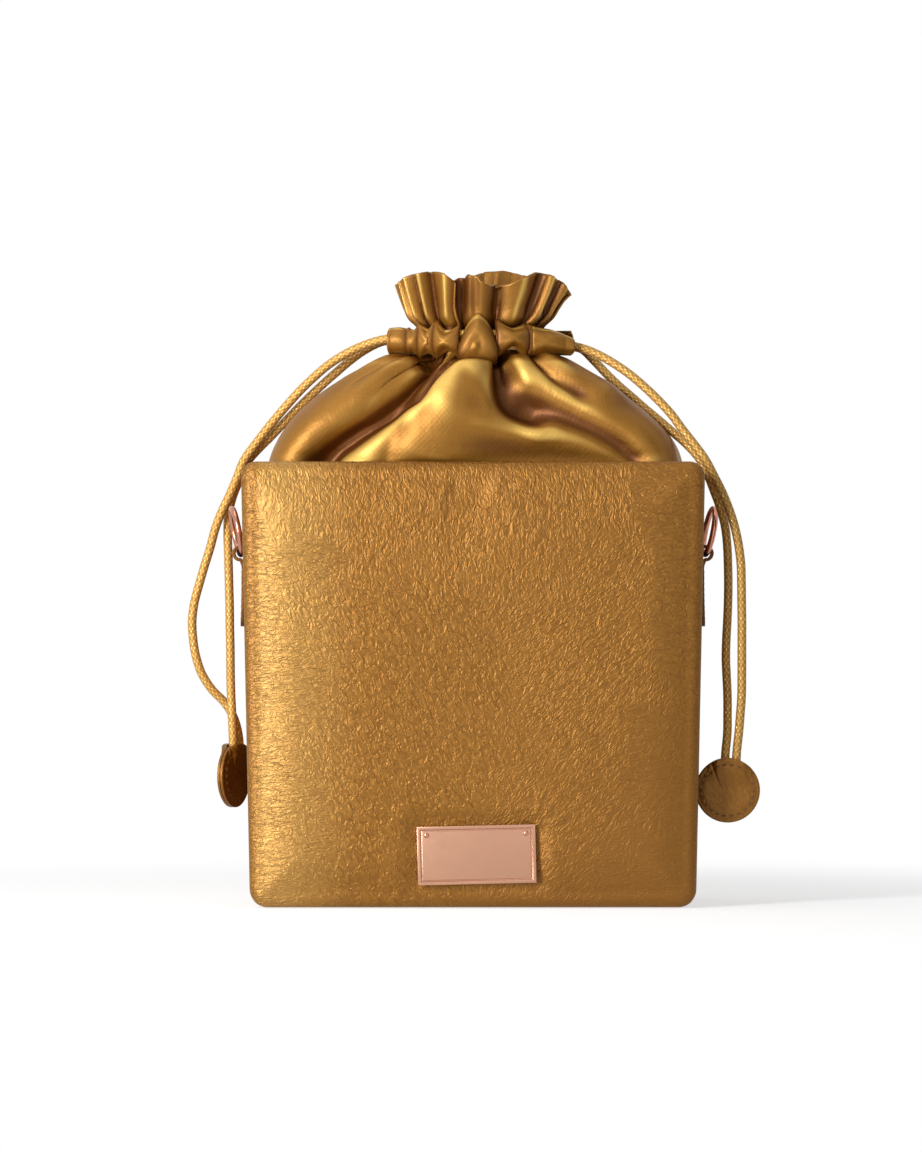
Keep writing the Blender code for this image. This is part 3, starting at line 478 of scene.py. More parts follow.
def cordMaterial():
    # braid: two sets of strands that cross, from the cord's own map (turns round, metres along)
    made, tree, shader = newMaterial("braidedCord")
    cloth = tree.add("ShaderNodeUVMap", uv_map="cloth").outputs[0]
    u, v, _ = tree.parts(cloth)
    around = tree.times(u, 2 * math.pi * cordSet["strands"])
    along = tree.times(v, 2 * math.pi / cordSet["lay"])
    right = tree.math('SINE', tree.plus(around, along))
    left = tree.math('SINE', tree.minus(around, along))
    strand = tree.math('MAXIMUM', right, left)
    gap = tree.times(right, left)
    height = tree.plus(tree.times(strand, 0.5), tree.times(gap, 0.35))
    wear = useGroup(tree, wearGroup, Place=tree.place(), Fine=2600.0)
    colour = tree.mix(tree.band(height, -0.2, 0.75), cordSet["dark"], cordSet["base"])
    glint = tree.times(tree.band(wear["Speckle"], 0.50, 0.68), tree.band(height, 0.1, 0.5))
    colour = tree.mix(tree.times(glint, 0.8), colour, cordSet["pale"])
    feed(tree, shader, Base_Color=colour, Roughness=tree.mixValue(glint, 0.55, 0.32),
         Metallic=tree.mixValue(glint, 0.25, 0.8), Sheen_Weight=0.2)
    bumpInto(tree, shader, height, cordSet["depth"])
    return made


def metalMaterial(name, colour, rough, brushed=0.0):
    # plated metal with fine polishing lines and small smudges
    made, tree, shader = newMaterial(name)
    place = tree.place()
    wear = useGroup(tree, wearGroup, Place=place, Patch=160.0)
    lines = tree.add("ShaderNodeMapping", {"Vector": place, "Scale": (60.0, 2600.0, 2600.0)})
    fine = tree.noise(lines.outputs[0], 1.0, 2.0)
    shade = tree.mix(tree.times(wear["Patches"], 0.35), colour, rgb(176, 118, 98))
    roughness = tree.plus(tree.times(wear["Patches"], 0.16), rough - 0.06)
    feed(tree, shader, Base_Color=shade, Roughness=roughness, Metallic=1.0)
    height = tree.plus(tree.times(fine, brushed), tree.times(wear["Speckle"], 0.2))
    bumpInto(tree, shader, height, 0.00002)
    return made


def threadMaterial():
    made, tree, shader = newMaterial("brownThread")
    wear = useGroup(tree, wearGroup, Place=tree.place(), Patch=900.0, Fine=6000.0)
    colour = tree.mix(wear["Patches"], rgb(72, 44, 18), rgb(120, 80, 40))
    feed(tree, shader, Base_Color=colour, Roughness=0.7)
    bumpInto(tree, shader, wear["Speckle"], 0.00006)
    return made


def plainMaterial(name, one, other, rough, scale):
    # board or foam inside the walls
    made, tree, shader = newMaterial(name)
    wear = useGroup(tree, wearGroup, Place=tree.place(), Patch=scale)
    feed(tree, shader, Base_Color=tree.mix(wear["Speckle"], one, other), Roughness=rough)
    bumpInto(tree, shader, wear["Speckle"], 0.0001)
    return made


coverLeather = leatherMaterial("coverLeather")
sideLeather = leatherMaterial("sideLeather", tint=(1.02, 0.94, 0.86, 1), fine=1.1, flow=False, depth=0.7)
stopperLeather = leatherMaterial("stopperLeather", tint=(0.86, 0.84, 0.80, 1), fine=1.8, flow=False,
                                 depth=0.25)
tabLeather = leatherMaterial("tabLeather", tint=(0.60, 0.52, 0.42, 1), fine=1.6, flow=False, depth=0.35)
pouchSatin = satinMaterial("pouchSatin")
liningSatin = satinMaterial("liningSatin", mask=False)
braidedCord = cordMaterial()
ringMetal = metalMaterial("ringMetal", rgb(196, 138, 114), 0.18)
plateMetal = metalMaterial("plateMetal", rgb(192, 148, 122), 0.30, 0.6)
brownThread = threadMaterial()
greyBoard = plainMaterial("greyBoard", rgb(150, 146, 138), rgb(176, 170, 160), 0.9, 90.0)
paleFoam = plainMaterial("paleFoam", rgb(226, 220, 206), rgb(240, 236, 226), 0.95, 200.0)
print("materials ready")


# drawstrings

cordShape = {
    "diameter": 0.0035, "sides": 14, "step": 0.0014,
    # x, y and z of each point from the stopper round the neck and back, in tenths of a millimetre
    "left": [
        -930, 178, 578, -934, 183, 652, -952, 186, 724, -989, 183, 788, -1040, 175, 841, -1080, 169, 903,
        -1104, 166, 973, -1116, 165, 1047, -1119, 164, 1121, -1109, 164, 1195, -1090, 164, 1266,
        -1069, 164, 1338, -1047, 164, 1409, -1028, 163, 1481, -1002, 162, 1550, -970, 160, 1617,
        -941, 153, 1685, -913, 144, 1754, -871, 131, 1813, -826, 117, 1871, -780, 101, 1927,
        -732, 85, 1982, -683, 69, 2035, -631, 50, 2084, -576, 29, 2130, -517, 6, 2168, -454, -19, 2199,
        -388, -47, 2222, -320, -73, 2235, -249, -92, 2240, -177, -109, 2246, -108, -138, 2247,
        -36, -155, 2247, 38, -160, 2247, 112, -153, 2247, 184, -133, 2247, 250, -99, 2247,
        304, -49, 2247, 318, 21, 2247, 275, 81, 2247, 212, 120, 2247, 143, 146, 2247, 69, 158, 2247,
        -5, 159, 2247, -78, 147, 2247, -147, 120, 2248, -218, 99, 2242, -290, 81, 2236, -362, 64, 2225,
        -428, 65, 2193, -488, 77, 2151, -544, 91, 2104, -599, 106, 2056, -652, 124, 2007,
        -704, 136, 1956, -755, 147, 1903, -806, 160, 1850, -858, 172, 1799, -905, 186, 1743,
        -934, 195, 1675, -961, 202, 1606, -977, 205, 1534, -979, 206, 1460, -977, 206, 1385,
        -975, 205, 1311, -973, 203, 1237, -971, 199, 1163, -970, 194, 1088, -968, 188, 1014,
        -967, 178, 941, -965, 148, 873, -962, 132, 801, -958, 125, 727, -955, 124, 652, -954, 125, 578,
    ],
    "right": [
        1035, -165, 529, 1038, -165, 603, 1046, -165, 676, 1052, -166, 750, 1057, -167, 823,
        1058, -169, 897, 1058, -171, 971, 1058, -172, 1045, 1058, -174, 1119, 1057, -176, 1193,
        1056, -178, 1266, 1054, -180, 1340, 1045, -181, 1414, 1030, -181, 1486, 1008, -181, 1556,
        980, -180, 1625, 947, -177, 1691, 912, -173, 1756, 869, -165, 1815, 824, -155, 1873,
        781, -145, 1932, 732, -134, 1986, 680, -122, 2037, 625, -108, 2085, 567, -92, 2127,
        505, -75, 2164, 438, -66, 2193, 367, -75, 2207, 296, -95, 2204, 224, -113, 2203, 156, -142, 2203,
        84, -157, 2203, 10, -160, 2203, -63, -151, 2203, -134, -129, 2203, -199, -94, 2203,
        -249, -41, 2203, -254, 30, 2203, -208, 87, 2203, -145, 124, 2203, -75, 148, 2203, -2, 159, 2203,
        72, 158, 2203, 144, 145, 2203, 213, 118, 2203, 284, 98, 2203, 355, 79, 2204, 427, 66, 2199,
        480, 52, 2151, 528, 31, 2099, 578, 8, 2049, 630, -16, 2003, 682, -40, 1956, 736, -61, 1910,
        789, -82, 1863, 842, -101, 1816, 890, -115, 1761, 924, -124, 1697, 951, -128, 1628,
        976, -131, 1559, 994, -133, 1487, 1002, -134, 1414, 1005, -136, 1340, 1006, -138, 1266,
        1005, -139, 1192, 1002, -141, 1118, 998, -144, 1045, 996, -147, 971, 999, -151, 897,
        1002, -156, 824, 1002, -160, 750, 1001, -163, 676, 994, -165, 603, 990, -165, 529,
    ],
}


def tubeAlong(name, route, radius, sides, step):
    # a round tube whose rings don't twist, with a map of turns round and metres along
    length = smoothCurve(route, 2)[1]
    line, length = smoothCurve(route, int(length / step) + 1)
    along = np.gradient(line, axis=0)
    along /= np.linalg.norm(along, axis=1)[:, None]
    normal = np.cross(along[0], (0, 1, 0))
    turn = np.arange(sides + 1) * 2 * np.pi / sides
    rings = []
    for point, ahead in zip(line, along):
        normal = normal - ahead * (normal @ ahead)
        normal /= np.linalg.norm(normal)
        side = np.cross(ahead, normal)
        rings.append(point + radius * (np.cos(turn)[:, None] * normal + np.sin(turn)[:, None] * side))
    rings = np.array(rings)
    reach = np.linspace(0, length, len(line))
    uv = np.stack(np.broadcast_arrays(turn[None, :] / (2 * np.pi), reach[:, None]), -1)
    cord = gridPiece(name, rings, flip=True)
    pointUv(cord, uv)
    everything, nothing = {"action": 'SELECT'}, {"action": 'DESELECT'}
    editPiece(cord, ("remove_doubles", {"threshold": 1e-6}), ("select_all", nothing),
              ("select_non_manifold", {}), ("fill_holes", {"sides": sides + 2}),
              ("select_all", everything), outward)
    smoothPiece(cord, 50)
    return cord, line, length


def makeCords():
    c = cordShape
    for side in ("left", "right"):
        route = np.reshape(c[side], (-1, 3)) / 10000
        cord, line, length = tubeAlong("cord_" + side, route, c["diameter"] / 2, c["sides"], c["step"])
        finishPiece(cord, braidedCord, replaces=["drawstring_" + side])
        print("cord", side, round(length, 4))


makeCords()


# padded leather faces

coverShape = {
    "height": 0.1743, "topWidth": 0.1816, "lowWidth": 0.1744, "depth": 0.076,
    "lowCorner": 0.0070, "topCorner": 0.0060, "edgeRound": 0.0055, "leather": 0.0012,
    "wrap": 0.0120, "lipY": 0.0305,
    # the lip inside the rim: steps inward and down
    "lip": ((0.0006, 0.0003), (0.0009, 0.0012), (0.0009, 0.0035), (0.0009, 0.0068), (0.0009, 0.0100)),
    # dents: depth, place and width across, place and height up
    "dents": ((0.0013, -0.0010, 0.011, 0.164, 0.014), (0.0006, -0.004, 0.016, 0.146, 0.010)),
    "topCreases": ((-0.011, 0.0022), (-0.002, 0.0030), (0.009, 0.0026)),
    # corner of the plate and direction of a crease there
    "plateCreases": ((1, 1, 0.35), (1, 1, 0.95), (1, 1, 1.5), (-1, 1, 2.2), (-1, 1, 2.75), (1, -1, -0.5),
                     (-1, -1, 3.7)),
    "padColumns": 61, "padRows": 57, "padInset": 0.0064,
    "columns": 150, "rows": 144,
    "crown": 0.0009, "edgeDrop": 0.0022, "edgeReach": 0.016, "deepest": 0.0023,
    "gap": 0.0003, "boardY": 0.0343,
    "plate": (0.0014, 0.0208, 0.0231, 0.0114), "plateTilt": math.radians(1.33),
}


def halfWidth(z):
    s = coverShape
    return s["lowWidth"] / 2 + (s["topWidth"] - s["lowWidth"]) / 2 * z / s["height"]


def panelPoint(u, v, inset):
    # u from -1 to 1 across and v from 0 to 1 up the panel, its corners drawn on to their arcs
    s = coverShape
    z = inset + v * (s["height"] - 2 * inset)
    x = u * (halfWidth(z) - inset)
    for corner, up in ((s["lowCorner"], -1), (s["topCorner"], 1)):
        r = max(corner - inset, 0.0003)
        middleZ = s["height"] - inset - r if up > 0 else inset + r
        middleX = halfWidth(middleZ) - inset - r
        a, b = (np.abs(x) - middleX) / r, (z - middleZ) * up / r
        inside = (a > 0) & (b > 0)
        far = np.maximum(np.hypot(a, b), 1e-9)
        share = np.maximum(a, b) / far
        x = np.where(inside, np.sign(x) * (middleX + a * share * r), x)
        z = np.where(inside, middleZ + up * b * share * r, z)
    return x, z


def faceRelief(x, z, front):
    # how far the face stands out: crown, soft edges, dents, and creases round the plate
    s = coverShape
    toEdge = np.minimum(halfWidth(z) - np.abs(x), np.minimum(z, s["height"] - z)) - s["edgeRound"]
    rise = s["crown"] * smoothStep(0.0, 0.06, toEdge)
    rise -= s["edgeDrop"] * (1 - np.clip(toEdge / s["edgeReach"], 0, 1)) ** 2
    rise += 0.0003 * np.sin(x * 58 + 1.2) * np.cos(z * 43 - 0.4)
    if not front:
        return rise
    for depth, atX, wide, atZ, tall in s["dents"]:
        rise -= depth * bump(x - atX, wide) * bump(z - atZ, tall)
    for at, width in s["topCreases"]:
        rise += 0.0004 * bump(x - at - (z - 0.165) * 0.2, width) * bump(z - 0.166, 0.010)
    px, pz, halfX, halfZ = s["plate"]
    turn = s["plateTilt"]
    a = (x - px) * math.cos(turn) - (z - pz) * math.sin(turn)
    b = (x - px) * math.sin(turn) + (z - pz) * math.cos(turn)
    outside = np.hypot(np.maximum(np.abs(a) - halfX, 0), np.maximum(np.abs(b) - halfZ, 0))
    rise -= 0.0012 * bump(outside, 0.0045)
    inner = np.minimum(halfX - np.abs(a), halfZ - np.abs(b))
    rise -= 0.0012 * smoothStep(0, 0.003, inner) * 0.3
    for cornerX, cornerZ, angle in s["plateCreases"]:
        dx, dz = a - cornerX * halfX, b - cornerZ * halfZ
        ahead = dx * math.cos(angle) + dz * math.sin(angle)
        aside = -dx * math.sin(angle) + dz * math.cos(angle)
        rise += 0.00035 * bump(aside, 0.0011) * bump(ahead - 0.006, 0.006) * (ahead > -0.001)
    return np.maximum(rise, -s["deepest"])


def gridOutline(rows, columns):
    # the indices round the edge of a grid
    index = np.arange(rows * columns).reshape(rows, columns)
    return np.concatenate([index[0, :-1], index[:-1, -1], index[-1, :0:-1], index[:0:-1, 0]])


def makeCover(name, side, node):
    # the face, its rounded edge, the wrap round sides and base, and the lip turned in over the rim
    s = coverShape
    columns, rows = s["columns"], s["rows"]
    u, v = np.meshgrid(np.linspace(-1, 1, columns + 1), np.linspace(0, 1, rows + 1))
    x, z = panelPoint(u, v, s["edgeRound"])
    front = s["depth"] / 2
    points = np.stack([x, side * (front + faceRelief(x, z, side < 0)), z], -1).reshape(-1, 3)
    faces = gridFaces(rows + 1, columns + 1, False, flip=side > 0)
    outline = gridOutline(rows + 1, columns + 1)
    edgeU, edgeV = u.ravel()[outline], v.ravel()[outline]
    relief = faceRelief(points[outline, 0], points[outline, 2], side < 0)
    onTop = smoothStep(0.992, 0.9999, edgeV) * (1 - smoothStep(0.965, 0.995, np.abs(edgeU)))
    wrapEnd = (front - s["wrap"]) * (1 - onTop) + s["lipY"] * onTop
    rings = []
    steps = 7
    for i in range(1, steps + 1):
        turn = 0.5 * math.pi * i / steps
        rx, rz = panelPoint(edgeU, edgeV, s["edgeRound"] * (1 - math.sin(turn)))
        depth = front - s["edgeRound"] + (s["edgeRound"] + relief) * math.cos(turn)
        rings.append(np.stack([rx, side * depth, rz], -1))
    rx, rz = panelPoint(edgeU, edgeV, 0.0)
    for i in range(1, 5):
        depth = (front - s["edgeRound"]) + (wrapEnd - front + s["edgeRound"]) * i / 4
        rings.append(np.stack([rx, side * depth, rz], -1))
    count = len(outline)
    previous = outline
    for ring in rings:
        start = len(points)
        points = np.vstack([points, ring])
        now = np.arange(start, start + count)
        following = np.roll(now, -1)
        before = np.roll(previous, -1)
        quads = np.stack([previous, before, following, now], -1)
        faces += (quads if side > 0 else quads[:, ::-1]).tolist()
        previous = now
    # the lip goes on down inside from the top edge only
    top = np.where(onTop > 0.98)[0]
    strip = previous[top]
    for turnIn, drop in s["lip"]:
        start = len(points)
        lowered = points[previous[top]].copy()
        lowered[:, 1] -= side * (turnIn - 0.0004)
        lowered[:, 2] -= drop
        points = np.vstack([points, lowered])
        now = np.arange(start, start + len(top))
        quads = np.stack([strip[:-1], strip[1:], now[1:], now[:-1]], -1)
        faces += (quads if side > 0 else quads[:, ::-1]).tolist()
        strip = now
    cover = pieceFrom(name, points, faces)
    applyModifier(cover, 'SOLIDIFY', thickness=s["leather"], offset=-1.0, use_even_offset=False)
    smoothPiece(cover, 50)
    finishPiece(cover, coverLeather, replaces=[node])


def makePad(name, side, node):
    # the foam under the leather follows the face and lies flat on its board
    s = coverShape
    columns, rows = s["padColumns"], s["padRows"]
    count = columns * rows
    u, v = np.meshgrid(np.linspace(-1, 1, columns), np.linspace(0, 1, rows))
    x, z = panelPoint(u, v, s["padInset"])
    under = s["depth"] / 2 - s["leather"] - s["gap"] + faceRelief(x, z, side < 0)
    face = np.stack([x, side * under, z], -1)
    back = np.stack([x, np.full_like(x, side * s["boardY"]), z], -1)
    outline = gridOutline(rows, columns)
    following = np.roll(outline, -1)
    walls = np.stack([outline, outline + count, following + count, following], -1)
    faces = gridFaces(rows, columns, False, flip=side > 0)
    faces += [tuple(i + count for i in f[::-1]) for f in faces]
    faces += (walls[:, ::-1] if side > 0 else walls).tolist()
    pad = pieceFrom(name, np.concatenate([face.reshape(-1, 3), back.reshape(-1, 3)]), faces)
    smoothPiece(pad, 40)
    finishPiece(pad, paleFoam, replaces=[node])


makeCover("leather_face_front", -1, "front_cover")
makeCover("leather_face_back", 1, "back_cover")
makePad("foam_front", -1, "front_pad")
makePad("foam_back", 1, "back_pad")
print("faces ready")


# side band, base, boards and lining

bandShape = {"inset": 0.0015, "rimDrop": 0.003, "halfDepth": 0.0290, "leather": 0.0012, "lip": 0.010,
             "turned": 0.0053}


def makeBand():
    s, c = bandShape, coverShape
    rim = c["height"] - s["rimDrop"]
    low = c["lowCorner"]
    lowX = halfWidth(low) - low
    r = low - s["inset"]
    wide = halfWidth(rim)
    half = [(halfWidth(rim - s["lip"]) - s["turned"], rim - s["lip"]), (wide - s["turned"], rim - 0.0016),
            (wide - s["turned"] + 0.0010, rim - 0.0003), (wide - s["inset"] - 0.0012, rim),
            (wide - s["inset"] - 0.0002, rim - 0.0006), (wide - s["inset"], rim - 0.002)]
    for z in np.linspace(rim - 0.006, low, 40):
        half.append((halfWidth(z) - s["inset"], z))
    for turn in np.linspace(0, -90, 9)[1:]:
        half.append((lowX + r * math.cos(math.radians(turn)), low + r * math.sin(math.radians(turn))))
    path = half + [(x, half[-1][1]) for x in np.linspace(lowX, -lowX, 40)[1:-1]]
    path += [(-x, z) for x, z in reversed(half)]
    y = np.linspace(-s["halfDepth"], s["halfDepth"], 31)
    rows = np.array([[(x, yy, z) for yy in y] for x, z in path])
    # the sides give a little between the two stiff faces
    give = 0.0007 * (1 - (rows[..., 1] / s["halfDepth"]) ** 2) * smoothStep(0.02, 0.08, rows[..., 2])
    give *= 1 - smoothStep(0.13, 0.165, rows[..., 2])
    rows[..., 0] -= np.sign(rows[..., 0]) * give
    band = gridPiece("side_band", rows, flip=True)
    applyModifier(band, 'SOLIDIFY', thickness=s["leather"], offset=-1.0, use_even_offset=False)
    smoothPiece(band, 50)
    finishPiece(band, sideLeather, replaces=["gusset"])


def makeBase():
    low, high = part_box("base_panel")
    deselectAll()
    bpy.ops.mesh.primitive_cube_add(size=1, location=(low + high) / 2, scale=high - low)
    base = newPiece("base_leather")
    applyPlace(base)
    # a sewn line round the underside
    insetFaces(base, 2, ((0.0030, 0), (0.0006, -0.0003), (0.0006, 0.0003)))
    applyModifier(base, 'BEVEL', width=0.0004, segments=3, limit_method='ANGLE')
    smoothPiece(base, 40)
    finishPiece(base, sideLeather, replaces=["base_panel"])


def dressInside():
    for name in ("front_board", "back_board", "left_board", "right_board", "base_board", "lining"):
        nodes[name].data.materials.clear()
        nodes[name].data.materials.append(liningSatin if name == "lining" else greyBoard)


makeBand()
makeBase()
dressInside()
print("sides ready")


# satin pouch: body, neck and ruffle in one sheet

pouchShape = {
    "centre": 3.0, "halfWidth": 27.5, "halfDepth": 16.0,      # cord path round the neck, mm
    "neckInset": 2.05, "neckTuck": 4.0, "sideTuck": 0.5,
    "casingLow": 217.45, "casingTop": 227.55,
    "frontSamples": 40, "backSamples": 18,
    "bodyRows": 78, "neckRows": 10, "ruffleRows": 28, "gathers": 44, "girth": 0.42,
    "valleys": [-90, -72, -54, -39, -17, 13, 40, 60, 75, 90, 109, 130, 150, 170, 190, 211, 231, 251, 270],
    # height, centre, half width, half depth, squareness, pleat depth, in millimetres
    "bodyLevels": [
        (158.3, 0.0, 83.6, 30.1, 8.0, 0.0), (166.0, 0.5, 82.2, 27.8, 6.5, 0.0),
        (175.0, 1.0, 79.2, 25.2, 4.6, 0.0), (180.0, 0.9, 77.6, 26.0, 4.0, 0.0),
        (185.0, 0.4, 75.0, 26.6, 3.6, 0.0), (190.0, -0.6, 70.8, 26.6, 3.3, 0.0),
        (195.0, -1.0, 66.0, 25.8, 3.0, 0.2), (199.5, -1.1, 61.0, 24.6, 2.8, 0.5),
        (203.5, -1.1, 55.4, 23.0, 2.6, 1.0), (207.5, -0.8, 48.8, 21.2, 2.4, 1.8),
        (211.0, -0.2, 42.6, 19.2, 2.2, 2.6), (214.2, 1.2, 35.0, 16.8, 2.1, 3.4),
    ],
    # rise above the casing, shift, growth in width and in depth, pleat depth
    "ruffleLevels": [
        (3.6, 0.0, 3.2, 1.9, 4.4), (8.6, 0.2, 5.6, 3.5, 4.4), (14.1, 0.6, 7.8, 5.1, 4.2),
        (19.7, 0.9, 9.7, 6.5, 3.8),
    ],
    # folds of the front: rise, width before and after the line, edge of a lap (0 for a rounded fold), line
    "folds": [
        # left roll
        (3.2, 8, 8, 0, [(-25.4, 218.0), (-32.4, 213.3), (-44.1, 204.0), (-57.3, 193.4), (-65.5, 185.2),
                        (-72.9, 176.3), (-74.9, 170.8)]),
        # left valley
        (-7.5, 4, 8, 0, [(-15.2, 216.8), (-20.3, 207.1), (-32.8, 195.8), (-43.7, 188.0), (-54.6, 179.8),
                         (-60.5, 173.9)]),
        # lobe edge
        (5.5, 2, 30, 0.9, [(-5.1, 211.4), (-11.7, 205.5), (-19.9, 197.7), (-28.1, 192.7), (-39.0, 184.5),
                           (-53.0, 174.3), (-58.9, 170.0)]),
        # slim fold
        (2.4, 3.0, 3.6, 0, [(-9.4, 217.6), (-14.0, 209.8), (-23.8, 196.2)]),
        # lobe crown
        (2.5, 15, 17, 0, [(-7.0, 200.1), (-9.0, 190.3), (-12.9, 177.8)]),
        # lobe top
        (3.0, 2, 14, 0.8, [(7.0, 213.1), (0.8, 211.8), (-5.1, 210.2), (-10.5, 207.5), (-15.6, 202.0)]),
        # flap
        (2.4, 3.6, 3.6, 0, [(-5.1, 214.9), (0.8, 215.7), (6.2, 215.3)]),
        # crease
        (-6.5, 2.8, 7, 0, [(8.6, 218.4), (9.4, 209.8), (9.8, 201.2), (13.3, 195.0), (21.4, 191.1)]),
        # right ridge
        (5.0, 5, 9, 0, [(14.4, 220.7), (16.4, 216.8), (22.2, 208.7), (33.9, 201.2), (49.1, 191.9),
                        (61.6, 183.7), (69.0, 174.7), (71.4, 170.0)]),
        # right valley
        (-3.5, 6, 6, 0, [(22.2, 198.1), (30.8, 195.0), (43.7, 189.5), (55.4, 182.5), (62.0, 175.5)]),
        # lower ridge
        (3.0, 5, 4, 0, [(26.9, 186.0), (42.9, 182.9), (55.4, 177.1), (61.2, 172.4)]),
        # soft edge
        (1.4, 4, 4, 0, [(3.9, 188.8), (14.4, 186.4), (26.1, 186.0)]),
        # small ridge
        (2.6, 4, 4, 0, [(25.4, 216.8), (30.8, 212.2), (37.8, 207.5), (49.5, 201.2)]),
        # small valley
        (-3.5, 3, 3, 0, [(21.1, 218.4), (24.2, 212.9), (30.8, 206.7), (39.8, 201.2)]),
        # right shoulder
        (1.0, 7, 7, 0, [(39.8, 213.7), (53.4, 204.0), (65.1, 194.2), (73.7, 182.5)]),
        # left line
        (0.5, 2.6, 2.6, 0, [(-26.1, 218.4), (-36.3, 212.6), (-48.0, 206.7)]),
        # rim dip
        (-1.6, 5, 5, 0, [(-30.0, 185.6), (-33.1, 178.6), (-34.7, 172.4)]),
    ],
    # height of the ruffle's front and back edge by x, mm
    "frontEdge": [
        (-31.2, 244.9), (-28.5, 246.9), (-23.8, 248.4), (-17.9, 249.2), (-12.9, 248.0), (-9.0, 245.3),
        (-7.0, 243.9), (-5.9, 246.1), (-2.3, 247.7), (2.7, 246.9), (4.3, 245.3), (8.6, 243.2),
        (14.4, 243.8), (18.3, 246.1), (21.1, 246.9), (25.7, 248.4), (30.8, 247.3), (35.9, 244.1),
        (39.0, 240.2),
    ],
    "backEdge": [
        (-31.0, 244.9), (-20.0, 246.0), (-8.0, 246.0), (0.0, 249.0), (5.0, 250.8), (12.0, 251.0),
        (19.0, 249.4), (26.0, 247.0), (34.0, 245.0), (39.0, 240.2),
    ],
    # sideways drift of the ruffle's front by x, and extra depth of its folds by angle
    "ruffleDrift": [
        (-40.0, 0.0), (-20.0, 0.6), (-8.0, 1.6), (0.0, -1.4), (11.0, -1.6), (20.0, 1.6), (27.0, 1.8),
        (42.0, 0.0),
    ],
    "pinchAngles": [-90, -54, -39, -28, -17, 0, 13, 26, 40, 60, 90],
    "pinchDepths": [0.0, 0.4, 0.6, 0.8, 1.6, 0.4, 1.6, 1.2, 1.6, 1.0, 0.0],
    # painted shade and painted highlight patches on the front: x, height, half width, half height, turn in
    # degrees, tone
    "patches": [
        (0.5, 203.0, 8.5, 9.0, 0, -0.55), (12.0, 196.0, 7.0, 4.0, -30, -0.35),
        (-3.0, 240.0, 7.5, 10.0, 0, -0.50), (-24.0, 236.0, 8.0, 9.0, 8, 0.15),
        (32.0, 236.0, 6.0, 12.0, -20, -0.30), (8.0, 180.0, 30.0, 4.0, 0, -0.25),
        (-38.0, 186.0, 22.0, 3.2, 38, 0.25), (40.0, 197.0, 20.0, 2.4, -33, 0.30),
        (-60.0, 176.0, 14.0, 7.0, 40, -0.25), (-37.5, 192.5, 22.0, 3.0, 41, -0.55),
        (-30.0, 209.5, 9.0, 3.0, 42, -0.35), (17.0, 200.0, 8.0, 4.5, -40, -0.40),
    ],
}


def pleatShare(angle):
    # place in its pleat, 0 in a valley and 0.5 on the crest
    edges = np.array(pouchShape["valleys"], float)
    turned = np.where(angle < -90, angle + 360, angle)
    k = np.clip(np.searchsorted(edges, turned, side="right") - 1, 0, len(edges) - 2)
    return (turned - edges[k]) / (edges[k + 1] - edges[k])


def puff(share, power=0.6):
    return np.maximum(np.sin(np.pi * share), 0) ** power


def tuckDepth(angle, share, depth):
    facing = np.abs(np.cos(np.radians(angle)))
    s = pouchShape["sideTuck"]
    return depth * (s + (1 - s) * facing) * (1 - puff(share))


def neckPath(angle, exits=False):
    s = pouchShape
    turn = np.radians(angle)
    x, y = s["halfWidth"] * np.sin(turn), -s["halfDepth"] * np.cos(turn)
    if exits:
        fromFace = np.degrees(np.arcsin(np.clip(np.abs(np.sin(turn)), 0, 1)))
        part = np.clip((fromFace - 45) / 27, 0, None)
        x = x + np.sign(x) * 9.8 * part ** 1.5
        y = y + np.sign(y) * 2.1 * part
    return x + s["centre"], y


def besideNeck(angle, away, exits=False):
    x0, y0 = neckPath(angle - 0.25, exits)
    x1, y1 = neckPath(angle + 0.25, exits)
    runX, runY = x1 - x0, y1 - y0
    size = np.hypot(runX, runY)
    x, y = neckPath(angle, exits)
    return x + runY / size * away, y - runX / size * away


def girthShare(angle):
    dense = np.radians(np.linspace(-180, 180, 1441))
    x, y = pouchShape["halfWidth"] * np.sin(dense), -pouchShape["halfDepth"] * np.cos(dense)
    reach = np.concatenate([[0], np.cumsum(np.hypot(np.diff(x), np.diff(y)))])
    return np.interp(np.radians(angle), dense, reach / reach[-1])


def sectionPoints(halfX, halfY, square, share):
    angle = np.radians(np.linspace(-180, 180, 2881))
    sine, cosine = np.sin(angle), np.cos(angle)
    reach = ((np.abs(sine) / halfX) ** square + (np.abs(cosine) / halfY) ** square) ** (-1 / square)
    x, y = reach * sine, -reach * cosine
    run = np.concatenate([[0], np.cumsum(np.hypot(np.diff(x), np.diff(y)))])
    at = share * run[-1]
    return np.interp(at, run, x), np.interp(at, run, y)


